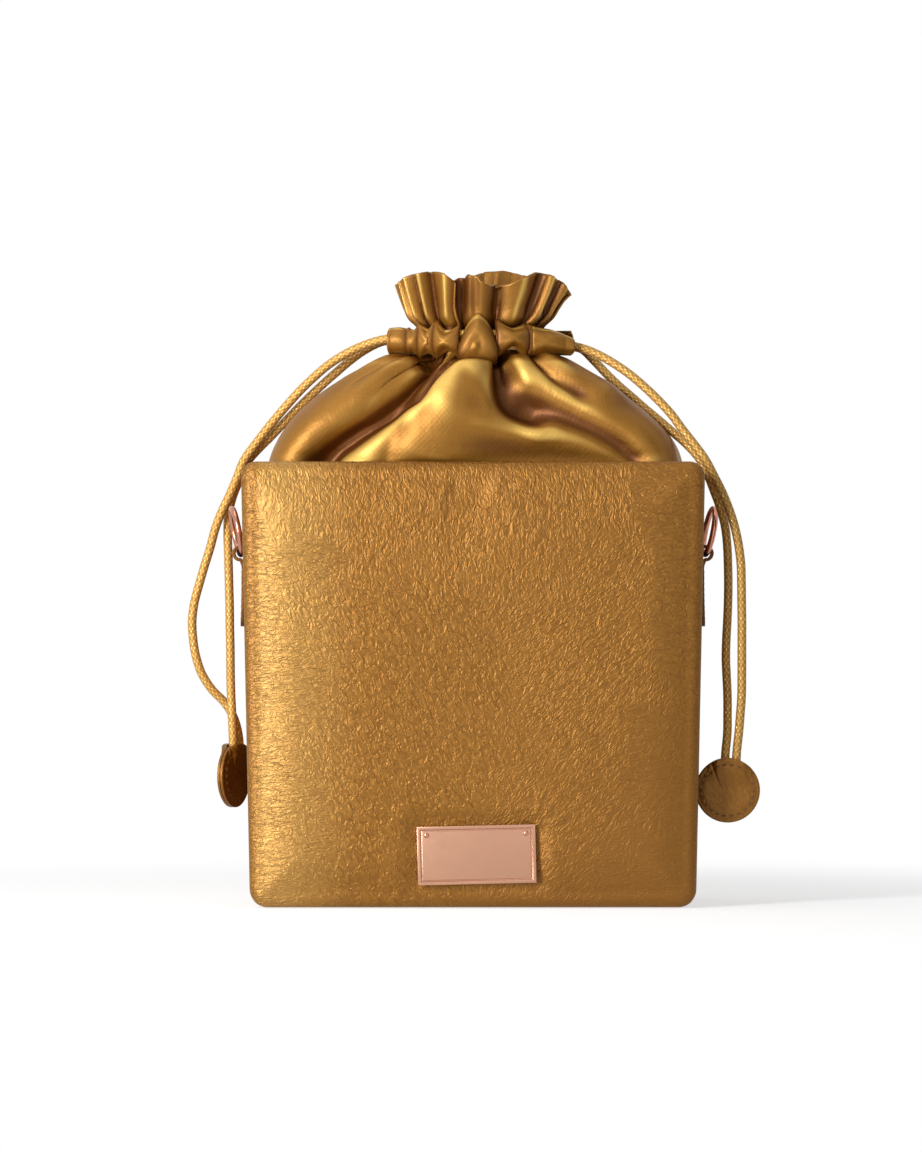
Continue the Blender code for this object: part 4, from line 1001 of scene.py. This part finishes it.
def pouchKeys(angle, share):
    s = pouchShape
    part = pleatShare(angle)
    keys, heights = [], []
    for height, centre, halfX, halfY, square, depth in s["bodyLevels"]:
        x, y = sectionPoints(halfX, halfY, square, share)
        awayX, awayY = x / halfX ** 2, y / halfY ** 2
        size = np.hypot(awayX, awayY)
        pull = depth * (1 - puff(part, np.interp(height, [192, 214], [2.0, 0.6])))
        keys.append(np.stack([x + centre - awayX / size * pull, y - awayY / size * pull,
                              np.full_like(x, height)], -1))
        heights.append(height)
    for height in (s["casingLow"] - 0.8, s["casingLow"] + 0.8, 222.5, s["casingTop"] + 0.3):
        x, y = besideNeck(angle, -s["neckInset"] - tuckDepth(angle, part, s["neckTuck"]))
        keys.append(np.stack([x, y, np.full_like(x, height)], -1))
        heights.append(height)
    turn = np.radians(angle)
    for rise, shift, wider, deeper, depth in s["ruffleLevels"]:
        x, y = besideNeck(angle, -s["neckInset"] - tuckDepth(angle, part, depth))
        keys.append(np.stack([x + wider * np.sin(turn) + shift, y - deeper * np.cos(turn),
                              np.full_like(x, s["casingTop"] + rise)], -1))
        heights.append(s["casingTop"] + rise)
    return np.array(keys), np.array(heights)


def between(keys, heights, targets):
    # smooth levels between the key ones
    slope = np.gradient(keys, heights, axis=0)
    k = np.clip(np.searchsorted(heights, targets, side="right") - 1, 0, len(heights) - 2)
    gap = (heights[k + 1] - heights[k])[:, None, None]
    t = ((targets - heights[k])[:, None, None]) / gap
    a, b = keys[k], keys[k + 1]
    return ((2 * t ** 3 - 3 * t ** 2 + 1) * a + (t ** 3 - 2 * t ** 2 + t) * gap * slope[k]
            + (3 * t ** 2 - 2 * t ** 3) * b + (t ** 3 - t ** 2) * gap * slope[k + 1])


def lineDistance(x, z, line):
    # signed distance to a smooth line, positive on its left
    points, _ = smoothCurve(line, 30)
    best = np.full(x.shape, 1e9)
    signed, beyond = np.zeros(x.shape), np.zeros(x.shape)
    for k, ((ax, az), (bx, bz)) in enumerate(zip(points, points[1:])):
        dx, dz = bx - ax, bz - az
        length = math.hypot(dx, dz)
        free = ((x - ax) * dx + (z - az) * dz) / length ** 2
        t = np.clip(free, 0, 1)
        gap = np.hypot(x - ax - dx * t, z - az - dz * t)
        nearer = gap < best
        best = np.where(nearer, gap, best)
        aside = ((z - az) * dx - (x - ax) * dz) / length
        over = np.maximum(-free if k == 0 else free - 1 if k == len(points) - 2 else 0 * free, 0)
        signed = np.where(nearer, np.where(over > 0, aside, np.sign(aside) * gap), signed)
        beyond = np.where(nearer, over * length, beyond)
    return signed, beyond


def foldRise(x, z):
    rise = np.zeros(x.shape)
    for height, before, after, edge, line in pouchShape["folds"]:
        gap, beyond = lineDistance(x, z, line)
        if edge:
            step = 0.5 * (1 + np.tanh(gap / edge))
            shape = step * bump(np.maximum(gap, 0), after)
            shape = shape - 0.25 * bump(gap + before, before) * (1 - step)
        else:
            shape = np.exp(-(np.abs(gap) / np.where(gap < 0, before, after)) ** 1.8)
        rise += height * shape * bump(beyond, 7.0)
    return rise


def spread(values, times):
    # the values blurred over their neighbours
    for _ in range(times):
        values = (values + np.roll(values, 1, 1) + np.roll(values, -1, 1)
                  + np.vstack([values[:1], values[:-1]]) + np.vstack([values[1:], values[-1:]])) / 5
    return values


def gridNormals(rows):
    along = np.gradient(rows, axis=0)
    around = (np.roll(rows, -1, axis=1) - np.roll(rows, 1, axis=1)) / 2
    normal = np.cross(around, along)
    return normal / np.maximum(np.linalg.norm(normal, axis=-1), 1e-9)[..., None]


def makePouch():
    s = pouchShape
    angle = []
    for a, b in zip(s["valleys"], s["valleys"][1:]):
        count = s["frontSamples"] if b <= 90 else s["backSamples"]
        angle += list(a + (b - a) * np.arange(count) / count)
    angle = np.array(angle)
    angle = np.sort(np.where(angle > 180, angle - 360, angle))
    share = girthShare(angle)
    part = pleatShare(angle)
    keys, heights = pouchKeys(angle, share)
    top = heights[-1]
    targets = np.concatenate([
        np.linspace(heights[0], 214.5, s["bodyRows"]),
        np.linspace(215.2, s["casingTop"], s["neckRows"]),
        np.linspace(s["casingTop"] + 0.6, top, s["ruffleRows"]),
    ])
    rows = between(keys, heights, targets)
    x, y, z = rows[..., 0], rows[..., 1], rows[..., 2]
    onFront = np.where(y < 0, x, 2 * s["centre"] - x)
    rise = foldRise(onFront, z)
    fade = smoothStep(162, 176, z) * (1 - smoothStep(213, 219, z)) * smoothStep(0, 9, np.abs(y))
    lift = rise * fade
    # fine gathers that run down from the neck
    fine = np.sin(angle / 360 * 2 * np.pi * s["gathers"] + 0.6)[None, :]
    fine = fine * smoothStep(196, 214, z) * (1 - smoothStep(216, 220, z))
    lift = lift + 0.25 * fine
    rows = rows + gridNormals(rows) * lift[..., None]
    # the ruffle's edge follows its own heights, front and back
    x, y = rows[..., 0], rows[..., 1]
    above = np.clip((rows[..., 2] - s["casingTop"]) / (top - s["casingTop"]), 0, 1)
    fx, fz = np.array(s["frontEdge"]).T
    bx, bz = np.array(s["backEdge"]).T
    isFront = smoothStep(2.0, -2.0, y)
    edge = np.interp(x, fx, fz) * isFront + np.interp(x, bx, bz) * (1 - isFront)
    rows[..., 2] += above * (edge - top)
    flutter = np.sin(angle * 0.11 + 0.8)[None, :] * 0.9 + np.sin(angle * 0.29 + 2)[None, :] * 0.35
    rows += gridNormals(rows) * (flutter * above ** 1.5)[..., None]
    # its folds drift sideways as they rise, and some are pinched deeper
    foldX, foldDrift = np.array(s["ruffleDrift"]).T
    x = rows[..., 0].copy()
    rows[..., 0] += np.interp(x, foldX, foldDrift) * above ** 0.8 * isFront
    pinch = np.interp(angle, s["pinchAngles"], s["pinchDepths"]) * (1 - puff(part, 0.9))
    pinch = pinch[None, :] * smoothStep(0, 0.5, above)
    sharper = ((1 - np.abs(2 * part - 1)) ** 1.3 - puff(part, 0.8)) * (1 - bump(angle + 2, 14))
    flap = bump(angle + 3, 3.5) * smoothStep(0.0, 0.4, above) * 1.3
    moved = 1.5 * sharper[None, :] * smoothStep(0.02, 0.4, above) - pinch - flap
    rows += gridNormals(rows) * moved[..., None]
    # the hem rolls over the top and goes down inside
    inward = -gridNormals(rows)[-1]
    inward[:, 2] = 0
    inward /= np.linalg.norm(inward, axis=1)[:, None]
    hem = [rows[-1] + inward * 0.35 + (0, 0, 0.30), rows[-1] + inward * 1.05 + (0, 0, 0.30),
           rows[-1] + inward * 1.4]
    for i in range(2, s["ruffleRows"] + 4, 2):
        hem.append(rows[-i] + inward * 1.4)
    depth = (1 - puff(part))[None, :] * np.ones(len(targets))[:, None]
    # painted light and shade: ridges are painted paler and valleys browner than the cloth round them, the
    # lower body a little darker, tucks at the neck painted dark and the ruffle's crests painted with
    # highlight
    near, wide = spread(lift, 40), spread(lift, 380)
    below = 1 - smoothStep(206, 214, rows[..., 2])
    paintedShadeTone = np.clip((lift - near) * 0.60 + (lift - wide) * 0.13 - 0.06 - 0.15 * below, -1, 1)
    paintedTuckShade = smoothStep(206, 216, rows[..., 2]) * depth
    crest = (bump(part - 0.5, 0.10) * (1 - bump(angle + 2, 14)))[None, :] * smoothStep(0.02, 0.3, above)
    paintedShadeTone = paintedShadeTone - 1.0 * paintedTuckShade * (1 - 0.3 * above) + 0.85 * crest
    # painted shade and painted highlight patches laid on the front's cloth
    for px, pz, wide, tall, turn, amount in s["patches"]:
        c, d = math.cos(math.radians(turn)), math.sin(math.radians(turn))
        along = (rows[..., 0] - px) * c + (rows[..., 2] - pz) * d
        across = (rows[..., 2] - pz) * c - (rows[..., 0] - px) * d
        paintedShadeTone = paintedShadeTone + amount * np.exp(-(along / wide) ** 2 - (across / tall) ** 2) * isFront
    # painted shade where the cloth shows between the channel cells
    paintedShadeTone = paintedShadeTone - 0.9 * smoothStep(213.5, 216, rows[..., 2]) * (1 - smoothStep(227.5, 229.5, rows[..., 2]))
    paintedShadeTone = np.clip(paintedShadeTone, -1, 1)
    # the hem turned inside is painted in shade
    paintedShadeTone = np.vstack([paintedShadeTone, np.full((len(hem), len(angle)), -0.25)])
    rows = np.concatenate([rows, np.array(hem)])
    rise = np.concatenate([[0], np.cumsum(np.linalg.norm(np.diff(rows, axis=0), axis=-1).mean(1))]) * mm
    uv = np.stack(np.broadcast_arrays((share * s["girth"])[None, :], rise[:, None]), -1)
    pouch = gridPiece("satin_pouch", rows * mm, closed=True)
    pointUv(pouch, uv)
    pointMask(pouch, "paintedShading", paintedShadeTone)
    smoothPiece(pouch)
    finishPiece(pouch, pouchSatin, replaces=["pouch_sleeve"])


makePouch()
print("pouch ready")


# channel strips over the cords: cells between the gathers

casingShape = {
    "samples": 44, "levels": 34,
    "middleCell": (-17, 13),    # has a hollow with a small knuckle in it
    # cell: angle from and to, swell, top edge at start, middle, end, low edge at start, middle, end (mm)
    "front": [
        (-72, -61, 1.2, 226.9, 227.2, 226.4, 217.6, 218.0, 217.6),
        (-61, -54, 1.6, 227.2, 226.0, 229.0, 216.6, 218.0, 216.4),
        (-54, -39.3, 2.6, 229.2, 226.4, 230.2, 215.6, 217.6, 215.2),
        (-39.3, -17, 3.0, 230.4, 225.2, 228.6, 214.8, 218.6, 215.2),
        (-17, 13, 4.3, 221.5, 232.6, 222.0, 213.4, 212.0, 213.6),
        (13, 40, 3.3, 230.4, 226.6, 228.8, 215.4, 220.0, 215.4),
        (40, 72, 2.6, 229.2, 226.6, 222.9, 214.8, 217.6, 217.4),
    ],
    "back": [
        (108, 130, 2.0, 226.4, 226.4, 229.0, 217.6, 217.8, 215.6),
        *((a, b, 2.6, 229.0, 226.4, 229.0, 215.6, 217.8, 215.6)
          for a, b in ((130, 150), (150, 170), (170, 190), (190, 211), (211, 231))),
        (231, 252, 2.0, 229.0, 226.4, 226.4, 215.6, 217.8, 217.6),
    ],
}


def makeCasing(name, node, side):
    s, c = pouchShape, casingShape
    cells, samples, levels = c[side], c["samples"], c["levels"]
    columns, paintedShadeTones = [], []
    for k, (start, end, swell, *edges) in enumerate(cells):
        last = k == len(cells) - 1
        middle = side == "front" and (start, end) == c["middleCell"]
        share = np.linspace(0, 1, samples, endpoint=last)
        for p in share:
            angle = start + (end - start) * p
            low0, low1 = max(1 - 2 * p, 0) ** 1.5, max(2 * p - 1, 0) ** 1.5
            topZ = edges[1] + (edges[0] - edges[1]) * low0 + (edges[2] - edges[1]) * low1
            lowZ = edges[4] + (edges[3] - edges[4]) * low0 + (edges[5] - edges[4]) * low1
            full = float(puff(np.array(p), 0.42))
            if k == 0:
                full = max(full, float(smoothStep(0.5, 0.0, p)))
            if last:
                full = max(full, float(smoothStep(0.5, 1.0, p)))
            fromFace = abs(angle if side == "front" else angle - 180)
            neck = -s["neckInset"] - 1.2 * (fromFace < 46)
            t = np.linspace(0, 1, levels)
            belly = np.sin(np.pi * np.clip(t * 0.96 + 0.02, 0, 1)) ** 0.45
            waist = 1 - 0.28 * bump(t - 0.55, 0.22) * (swell > 2 and edges[1] < edges[0])
            curl = 0.55 * bump(t - 0.95, 0.045) * full * (swell > 2)
            cross = bump(np.abs(t - 0.5) - 0.9 * abs(p - 0.5) - 0.04, 0.17) * full
            cross = cross * (swell > 2 and not middle)
            away = neck + (2.85 - neck + swell * full * waist * 0.86) * belly + curl + 0.45 * cross
            if middle:
                away = away - 1.1 * bump(p - 0.50, 0.20) * bump(t - 0.44, 0.20)
                away = away + 1.0 * bump(p - 0.45, 0.08) * bump(t - 0.38, 0.08)
            z = lowZ + (topZ - lowZ) * t
            x, y = besideNeck(np.full(levels, angle), away, True)
            columns.append(np.stack([x, y, z], -1))
            # painted light and shade: bright rims and cross ridges painted paler, thin cell ends and their
            # gaps painted darker
            rimHighlight = 1.1 * bump(t - 0.94, 0.05) + 0.7 * bump(t - 0.05, 0.06) + 0.28 * cross
            paintedShadeTones.append(np.clip(rimHighlight * full - 0.16 - 0.9 * (1 - full), -1, 1))
    columns = np.array(columns)
    reach = np.linspace(0, 0.09, len(columns))
    uv = np.stack(np.broadcast_arrays(reach[:, None], np.linspace(0, 0.016, levels)[None, :]), -1)
    casing = gridPiece(name, columns * mm)
    pointUv(casing, uv)
    pointMask(casing, "paintedShading", np.array(paintedShadeTones))
    applyModifier(casing, 'SOLIDIFY', thickness=0.0006, offset=-1.0, use_even_offset=False)
    smoothPiece(casing)
    finishPiece(casing, pouchSatin, replaces=[node])


makeCasing("gather_channel_front", "casing_front", "front")
makeCasing("gather_channel_back", "casing_back", "back")
print("gather ready")


# stitched leather stoppers

stopperShape = {
    "radius": 12.7 * mm, "layer": 1.7 * mm, "gap": 0.15 * mm, "seat": 5.0 * mm,
    "rim": 2.1 * mm, "stitchRadius": 10.1 * mm, "stitches": 22, "swell": 1.75 * mm, "swellReach": 5.5 * mm,
    "left": ((-95.2 * mm, 13.0 * mm, 50.1 * mm), math.radians(66), (5.3 * mm, -0.6 * mm)),
    "right": ((100.2 * mm, -16.5 * mm, 45.2 * mm), 0.0, (3.3 * mm, -1.2 * mm)),
}


def roundLayer(name, side, seats):
    # a disc from a grid drawn to a circle, swollen over the cord ends, its rim pressed down
    s = stopperShape
    deselectAll()
    bpy.ops.mesh.primitive_grid_add(x_subdivisions=56, y_subdivisions=56, size=2)
    layer = newPiece(name)
    co = readPoints(layer)
    a, b = co[:, 0], co[:, 1]
    far = np.maximum(np.hypot(a, b), 1e-9)
    ring = np.maximum(np.abs(a), np.abs(b))
    x, z = a / far * ring * s["radius"], b / far * ring * s["radius"]
    r = np.hypot(x, z)
    middle = sum(seats) / 2
    apart = abs(seats[0] - seats[1]) / 2 + 2.6 * mm
    swell = s["swell"] * np.exp(-(np.maximum(np.abs(x - middle) - apart, 0) / (2.4 * mm)) ** 2)
    swell *= smoothStep(s["radius"] - s["seat"] - 7 * mm, s["radius"] - s["seat"] + 3 * mm, z)
    out = s["gap"] + s["layer"] + swell
    rim = s["radius"] - s["rim"]
    out = out - 0.45 * mm * smoothStep(rim, rim + 0.5 * mm, r) * (swell < 1e-4)
    out = out - 0.35 * mm * smoothStep(s["radius"] - 0.5 * mm, s["radius"], r)
    out = out - 0.22 * mm * bump(r - s["stitchRadius"], 0.55 * mm)
    crease = (x + 3.4 * mm) + (z - 2 * mm) * 0.35
    out = out - 0.35 * mm * bump(crease, 0.5 * mm) * smoothStep(-2 * mm, 4 * mm, z) * (x < 0)
    writePoints(layer, np.stack([x, side * out, z], -1))
    editPiece(layer, outward)
    if sum(face.normal.y * side for face in layer.data.polygons) < 0:
        layer.data.flip_normals()
    # the back of the layer lies flat against the other one
    editPiece(layer, ("extrude_region_move", {"TRANSFORM_OT_translate": {"value": (0, 0, 0)}}))
    for vertex in layer.data.vertices:
        if vertex.select:
            raised = max(abs(vertex.co.y) - s["gap"] - s["layer"] - 0.1 * mm, 0)
            vertex.co.y = side * s["gap"] + side * raised * 0.9
    editPiece(layer, outward)
    smoothPiece(layer, 45)
    return layer


def stitchMesh(length, thick):
    # one short stitch, pressed in at both ends
    deselectAll()
    bpy.ops.mesh.primitive_uv_sphere_add(segments=8, ring_count=6, radius=1)
    stitch = bpy.context.object
    co = readPoints(stitch)[:, [2, 0, 1]] * (length / 2, thick / 2, thick / 2)
    co[:, 1] -= 0.25 * thick * (co[:, 0] / (length / 2)) ** 2
    faces = [tuple(f.vertices) for f in stitch.data.polygons]
    bpy.data.objects.remove(stitch)
    return co, faces


def stitchRow(name, stand, spots, length, thick):
    # spots in the leather's own frame: place, direction along the row, direction out of the leather
    base, faces = stitchMesh(length, thick)
    turn, origin = np.array(stand.to_3x3()), np.array(stand.translation)
    points, allFaces = [], []
    for k, (place, along, out) in enumerate(spots):
        place = turn @ place + origin
        along, out = turn @ along, turn @ out
        along = along / np.linalg.norm(along)
        out = out / np.linalg.norm(out)
        aside = np.cross(along, out)
        points.append(place + base[:, :1] * along + base[:, 1:2] * out + base[:, 2:] * aside)
        allFaces += [tuple(i + k * len(base) for i in f) for f in faces]
    row = pieceFrom(name, np.vstack(points), allFaces)
    editPiece(row, outward)
    smoothPiece(row)
    finishPiece(row, brownThread)


def makeStopper(name):
    s = stopperShape
    place, turn, seats = s[name]
    stand = Matrix.Translation(place) @ Matrix.Rotation(turn, 4, 'Z')
    for side, word in ((-1, "face"), (1, "back")):
        layer = roundLayer("stopper_" + name + "_leather_" + word, side, seats)
        layer.matrix_world = stand
        applyPlace(layer)
        finishPiece(layer, stopperLeather, replaces=["stopper_" + name + "_" + word])
        spots = []
        for i in range(s["stitches"]):
            angle = 2 * math.pi * (i + 0.5) / s["stitches"]
            across, up = math.sin(angle), math.cos(angle)
            out = s["gap"] + s["layer"] - 0.10 * mm
            if abs(s["stitchRadius"] * across - sum(seats) / 2) < s["swellReach"] and up > 0:
                out += s["swell"]
            spot = (s["stitchRadius"] * across, side * out, s["stitchRadius"] * up)
            spots.append((spot, (up, 0, -across), (0, side, 0)))
        stitchRow("stopper_" + name + "_stitches_" + word, stand, spots, 1.9 * mm, 0.55 * mm)


makeStopper("left")
makeStopper("right")
print("stoppers ready")


# rings and tabs at the sides

ringShape = {"radius": 9.2 * mm, "wire": 1.20 * mm, "height": 138.5 * mm, "lean": math.radians(11),
             "turn": math.radians(8), "joint": math.radians(150), "jointWidth": 0.28 * mm, "jointDepth": 0.14}
tabShape = {"width": 7.5 * mm, "leaf": 0.95 * mm, "padded": 1.25 * mm, "lift": 0.9 * mm, "length": 29 * mm,
            "endRound": 3.2 * mm, "loop": 2.2 * mm, "gap": 0.3 * mm}


def tabPlace(side):
    t, r = tabShape, ringShape
    reach = halfWidth(r["height"]) - bandShape["inset"] + t["gap"] + t["loop"] + t["leaf"]
    return Vector((side * reach, 0, r["height"]))


def makeRing(name, side):
    s = ringShape
    deselectAll()
    bpy.ops.mesh.primitive_torus_add(major_radius=s["radius"], minor_radius=s["wire"],
                                     major_segments=112, minor_segments=24, rotation=(0, math.radians(90), 0))
    ring = newPiece("strap_" + name)
    applyPlace(ring)
    # the butt joint of the bent wire, and a slight flattening where it was soldered
    for vertex in ring.data.vertices:
        around = math.atan2(vertex.co.y, vertex.co.z)
        centre = Vector((0, s["radius"] * math.sin(around), s["radius"] * math.cos(around)))
        off = abs((around - s["joint"] + math.pi) % (2 * math.pi) - math.pi) * s["radius"]
        squeeze = 1 - s["jointDepth"] * math.exp(-(off / s["jointWidth"]) ** 2)
        vertex.co = centre + (vertex.co - centre) * squeeze
    rise = s["radius"] - math.sqrt(s["radius"] ** 2 - (tabShape["width"] / 2) ** 2)
    ring.data.transform(Matrix.Translation((0, 0, s["radius"] - rise / 2)))
    lean = Matrix.Rotation(s["turn"], 4, 'Z') @ Matrix.Rotation(side * s["lean"], 4, 'Y')
    ring.data.transform(Matrix.Translation(tabPlace(side)) @ lean)
    ring.data.update()
    smoothPiece(ring)
    body = "left_ring" if side < 0 else "right_ring"
    finishPiece(ring, ringMetal, body, replaces=[name])


def makeTab(name, side):
    t = tabShape
    mid = t["loop"] + t["leaf"] / 2
    inner = -(t["loop"] + t["leaf"]) + t["padded"] / 2
    outer = inner + t["padded"] + t["gap"]
    # both leaves lift a little from the wall towards their end
    drop = [0.14, 0.3, 0.5, 0.75, 1.0]
    path = [(inner + t["lift"] * d ** 2, -t["length"] * d) for d in drop[::-1]] + [(inner, -1 * mm)]
    path += [(mid * math.cos(a), mid * math.sin(a)) for a in np.radians(np.arange(170, -101, -20))]
    path += [(outer + t["lift"] * d ** 2, -t["length"] * d) for d in [0.18] + drop[1:]]
    line, length = smoothCurve(path, 150)
    deselectAll()
    bpy.ops.mesh.primitive_grid_add(x_subdivisions=149, y_subdivisions=12, size=2)
    tab = newPiece("strap_" + name)
    co = readPoints(tab)
    at = (co[:, 0] + 1) / 2 * length
    reach = np.linspace(0, length, len(line))
    fromEnd = np.minimum(at, length - at)
    corner = t["endRound"]
    arc = np.sqrt(np.maximum(corner ** 2 - (corner - fromEnd) ** 2, 0))
    half = t["width"] / 2 - np.where(fromEnd < corner, corner - arc, 0)
    x, z = np.interp(at, reach, line[:, 0]), np.interp(at, reach, line[:, 1])
    writePoints(tab, np.stack([side * x, co[:, 1] * half, z], -1))
    applyModifier(tab, 'SOLIDIFY', thickness=t["padded"], offset=0.0, use_even_offset=True)
    editPiece(tab, outward)
    applyModifier(tab, 'BEVEL', width=0.0002, segments=2, limit_method='ANGLE')
    slope = math.atan((coverShape["topWidth"] - coverShape["lowWidth"]) / 2 / coverShape["height"])
    stand = Matrix.Translation(tabPlace(side)) @ Matrix.Rotation(side * slope, 4, 'Y')
    tab.data.transform(stand)
    tab.data.update()
    smoothPiece(tab, 40)
    finishPiece(tab, tabLeather, replaces=[name])
    face = outer + t["padded"] / 2 - 0.05 * mm
    spots = []

    def sew(y, z, along):
        out = side * (face + t["lift"] * (z * mm / t["length"]) ** 2)
        spots.append(((out, y, z * mm), along, (side, 0, 0)))

    for row in (-1, 1):
        for z in np.arange(-7.5, -26.5, -2.3):
            sew(row * (t["width"] / 2 - 1.2 * mm), z, (0, 0, 1))
    for y in (-1.4, 0.0, 1.4):
        for z in (-7.0, -27.4):
            sew(y * mm, z, (0, 1, 0))
    stitchRow("strap_" + name + "_stitches", stand, spots, 1.6 * mm, 0.34 * mm)


for name, side in (("left", -1), ("right", 1)):
    makeRing("ring_" + name, side)
    makeTab("tab_" + name, side)
print("rings ready")


# bare plate with its pins

plateShape = {"width": 46.2 * mm, "height": 22.8 * mm, "thick": 1.2 * mm, "rim": 1.2 * mm,
              "step": 0.35 * mm, "slope": 0.26 * mm, "groove": 0.22 * mm,
              "place": (1.4 * mm, -38.0 * mm, 20.8 * mm), "tilt": math.radians(1.33),
              "pinSpacing": 38.8 * mm, "pinRise": 8.0 * mm, "pinRadius": 1.05 * mm, "gap": 0.3 * mm}


def plateStand():
    return Matrix.Translation(plateShape["place"]) @ Matrix.Rotation(-plateShape["tilt"], 4, 'Y')


def makePlate():
    s = plateShape
    deselectAll()
    bpy.ops.mesh.primitive_cube_add(size=1, location=(0, -s["gap"] - s["thick"] / 2, 0),
                                    scale=(s["width"], s["thick"], s["height"]))
    plate = newPiece("bare_plate")
    applyPlace(plate)
    slope, groove = s["slope"], s["groove"]
    insetFaces(plate, 1, ((s["rim"], 0), (slope, -s["step"] - groove), (slope, 0), (slope, groove)))
    plate.data.transform(plateStand())
    applyModifier(plate, 'BEVEL', width=0.00012, segments=2, limit_method='ANGLE')
    smoothPiece(plate, 35)
    finishPiece(plate, plateMetal, replaces=["name_plate"])
    for name, side in (("left", -1), ("right", 1)):
        deselectAll()
        bpy.ops.mesh.primitive_uv_sphere_add(segments=28, ring_count=16, radius=s["pinRadius"])
        pin = newPiece("round_pin_" + name)
        face = -s["gap"] - s["thick"] + s["step"]
        for vertex in pin.data.vertices:
            vertex.co.y *= 0.55
            vertex.co.y = min(vertex.co.y, 0.15 * mm)
        spot = Matrix.Translation((side * s["pinSpacing"] / 2, face, s["pinRise"]))
        pin.data.transform(plateStand() @ spot)
        pin.data.update()
        smoothPiece(pin, 60)
        finishPiece(pin, ringMetal, replaces=["plate_pin_" + name])


makePlate()
print("plate ready")


# floor, background and lamps

stageSet = {
    "floorRadius": 1.2, "floorGap": 0.0003,
    "fadeStart": 0.16, "fadeEnd": 0.42,     # where the floor's shade fades to white
    "floorDiffuse": 0.55, "floorGlow": 0.62,
    "worldLight": 0.26,
    "keyPower": 17.0, "keyPlace": (-0.62, -0.80, 0.22), "keySize": 0.24, "keyTall": 0.9,
    "fillPower": 0.8, "fillPlace": (0.5, -1.4, 0.35), "fillSize": 0.9,
    "topPower": 1.3, "topPlace": (-0.25, -0.10, 1.05), "topSize": 0.5,
    "cardPlace": (0.62, -0.42, 0.25), "cardTurn": (math.radians(90), 0, math.radians(-52)),
    "cardSize": (0.8, 1.1), "cardShade": 0.05,
    "lampAim": (0, 0, 0.11),
}


def straightRays(tree):
    # 1 for what the camera sees, straight, mirrored or through something clear
    seen = tree.add("ShaderNodeLightPath").outputs
    return tree.math('MAXIMUM', tree.math('MAXIMUM', seen["Is Camera Ray"], seen["Is Glossy Ray"]),
                     seen["Is Transmission Ray"])


def makeStage():
    s = stageSet
    deselectAll()
    bpy.ops.mesh.primitive_circle_add(vertices=96, radius=s["floorRadius"], fill_type='NGON',
                                      location=(0, 0, -s["floorGap"]))
    floor = newPiece("floor")
    applyPlace(floor)
    made, tree, _ = newMaterial("paleFloor")
    made.node_tree.nodes.clear()
    x, y, _ = tree.parts(tree.place())
    far = tree.math('SQRT', tree.plus(tree.times(x, x), tree.times(y, y)))
    fade = tree.band(far, s["fadeStart"], s["fadeEnd"])
    direct = straightRays(tree)
    value = s["floorDiffuse"]
    diffuse = tree.add("ShaderNodeBsdfDiffuse", {"Color": (value, value, value, 1)}).outputs[0]
    shine = tree.times(direct, s["floorGlow"])
    glow = tree.add("ShaderNodeEmission", {"Color": (1, 1, 1, 1), "Strength": shine}).outputs[0]
    near = tree.add("ShaderNodeAddShader", {0: diffuse, 1: glow}).outputs[0]
    white = tree.add("ShaderNodeEmission", {"Color": (1, 1, 1, 1), "Strength": direct}).outputs[0]
    both = tree.add("ShaderNodeMixShader", {0: fade, 1: near, 2: white}).outputs[0]
    tree.add("ShaderNodeOutputMaterial", {"Surface": both})
    floor.data.materials.append(made)

    world = bpy.data.worlds.new("studio")
    bpy.context.scene.world = world
    world.use_nodes = True
    world.node_tree.nodes.clear()
    tree = Tree(world.node_tree)
    direct = straightRays(tree)
    strength = tree.mixValue(direct, s["worldLight"], 1.0)
    back = tree.add("ShaderNodeBackground", {"Color": (1, 1, 1, 1), "Strength": strength}).outputs[0]
    tree.add("ShaderNodeOutputWorld", {"Surface": back})

    # a dark card out of view to the right, so that metal and leather darken that way
    deselectAll()
    bpy.ops.mesh.primitive_plane_add(size=1, location=s["cardPlace"], rotation=s["cardTurn"])
    card = newPiece("dark_card")
    card.scale = (*s["cardSize"], 1)
    applyPlace(card)
    card.visible_camera = False
    made, tree, shader = newMaterial("darkCard")
    feed(tree, shader, Base_Color=(s["cardShade"],) * 3 + (1,), Roughness=1.0)
    card.data.materials.append(made)

    for name in ("key", "fill", "top"):
        data = bpy.data.lights.new(name, 'AREA')
        data.energy, data.size = s[name + "Power"], s[name + "Size"]
        if name == "key":
            data.shape, data.size_y = 'RECTANGLE', s["keyTall"]
        lamp = bpy.data.objects.new(name, data)
        lamp.location = s[name + "Place"]
        lamp.rotation_euler = (Vector(s["lampAim"]) - lamp.location).to_track_quat('-Z', 'Y').to_euler()
        bpy.context.scene.collection.objects.link(lamp)
    bpy.context.scene.view_settings.view_transform = 'Standard'


makeStage()
print("stage ready")
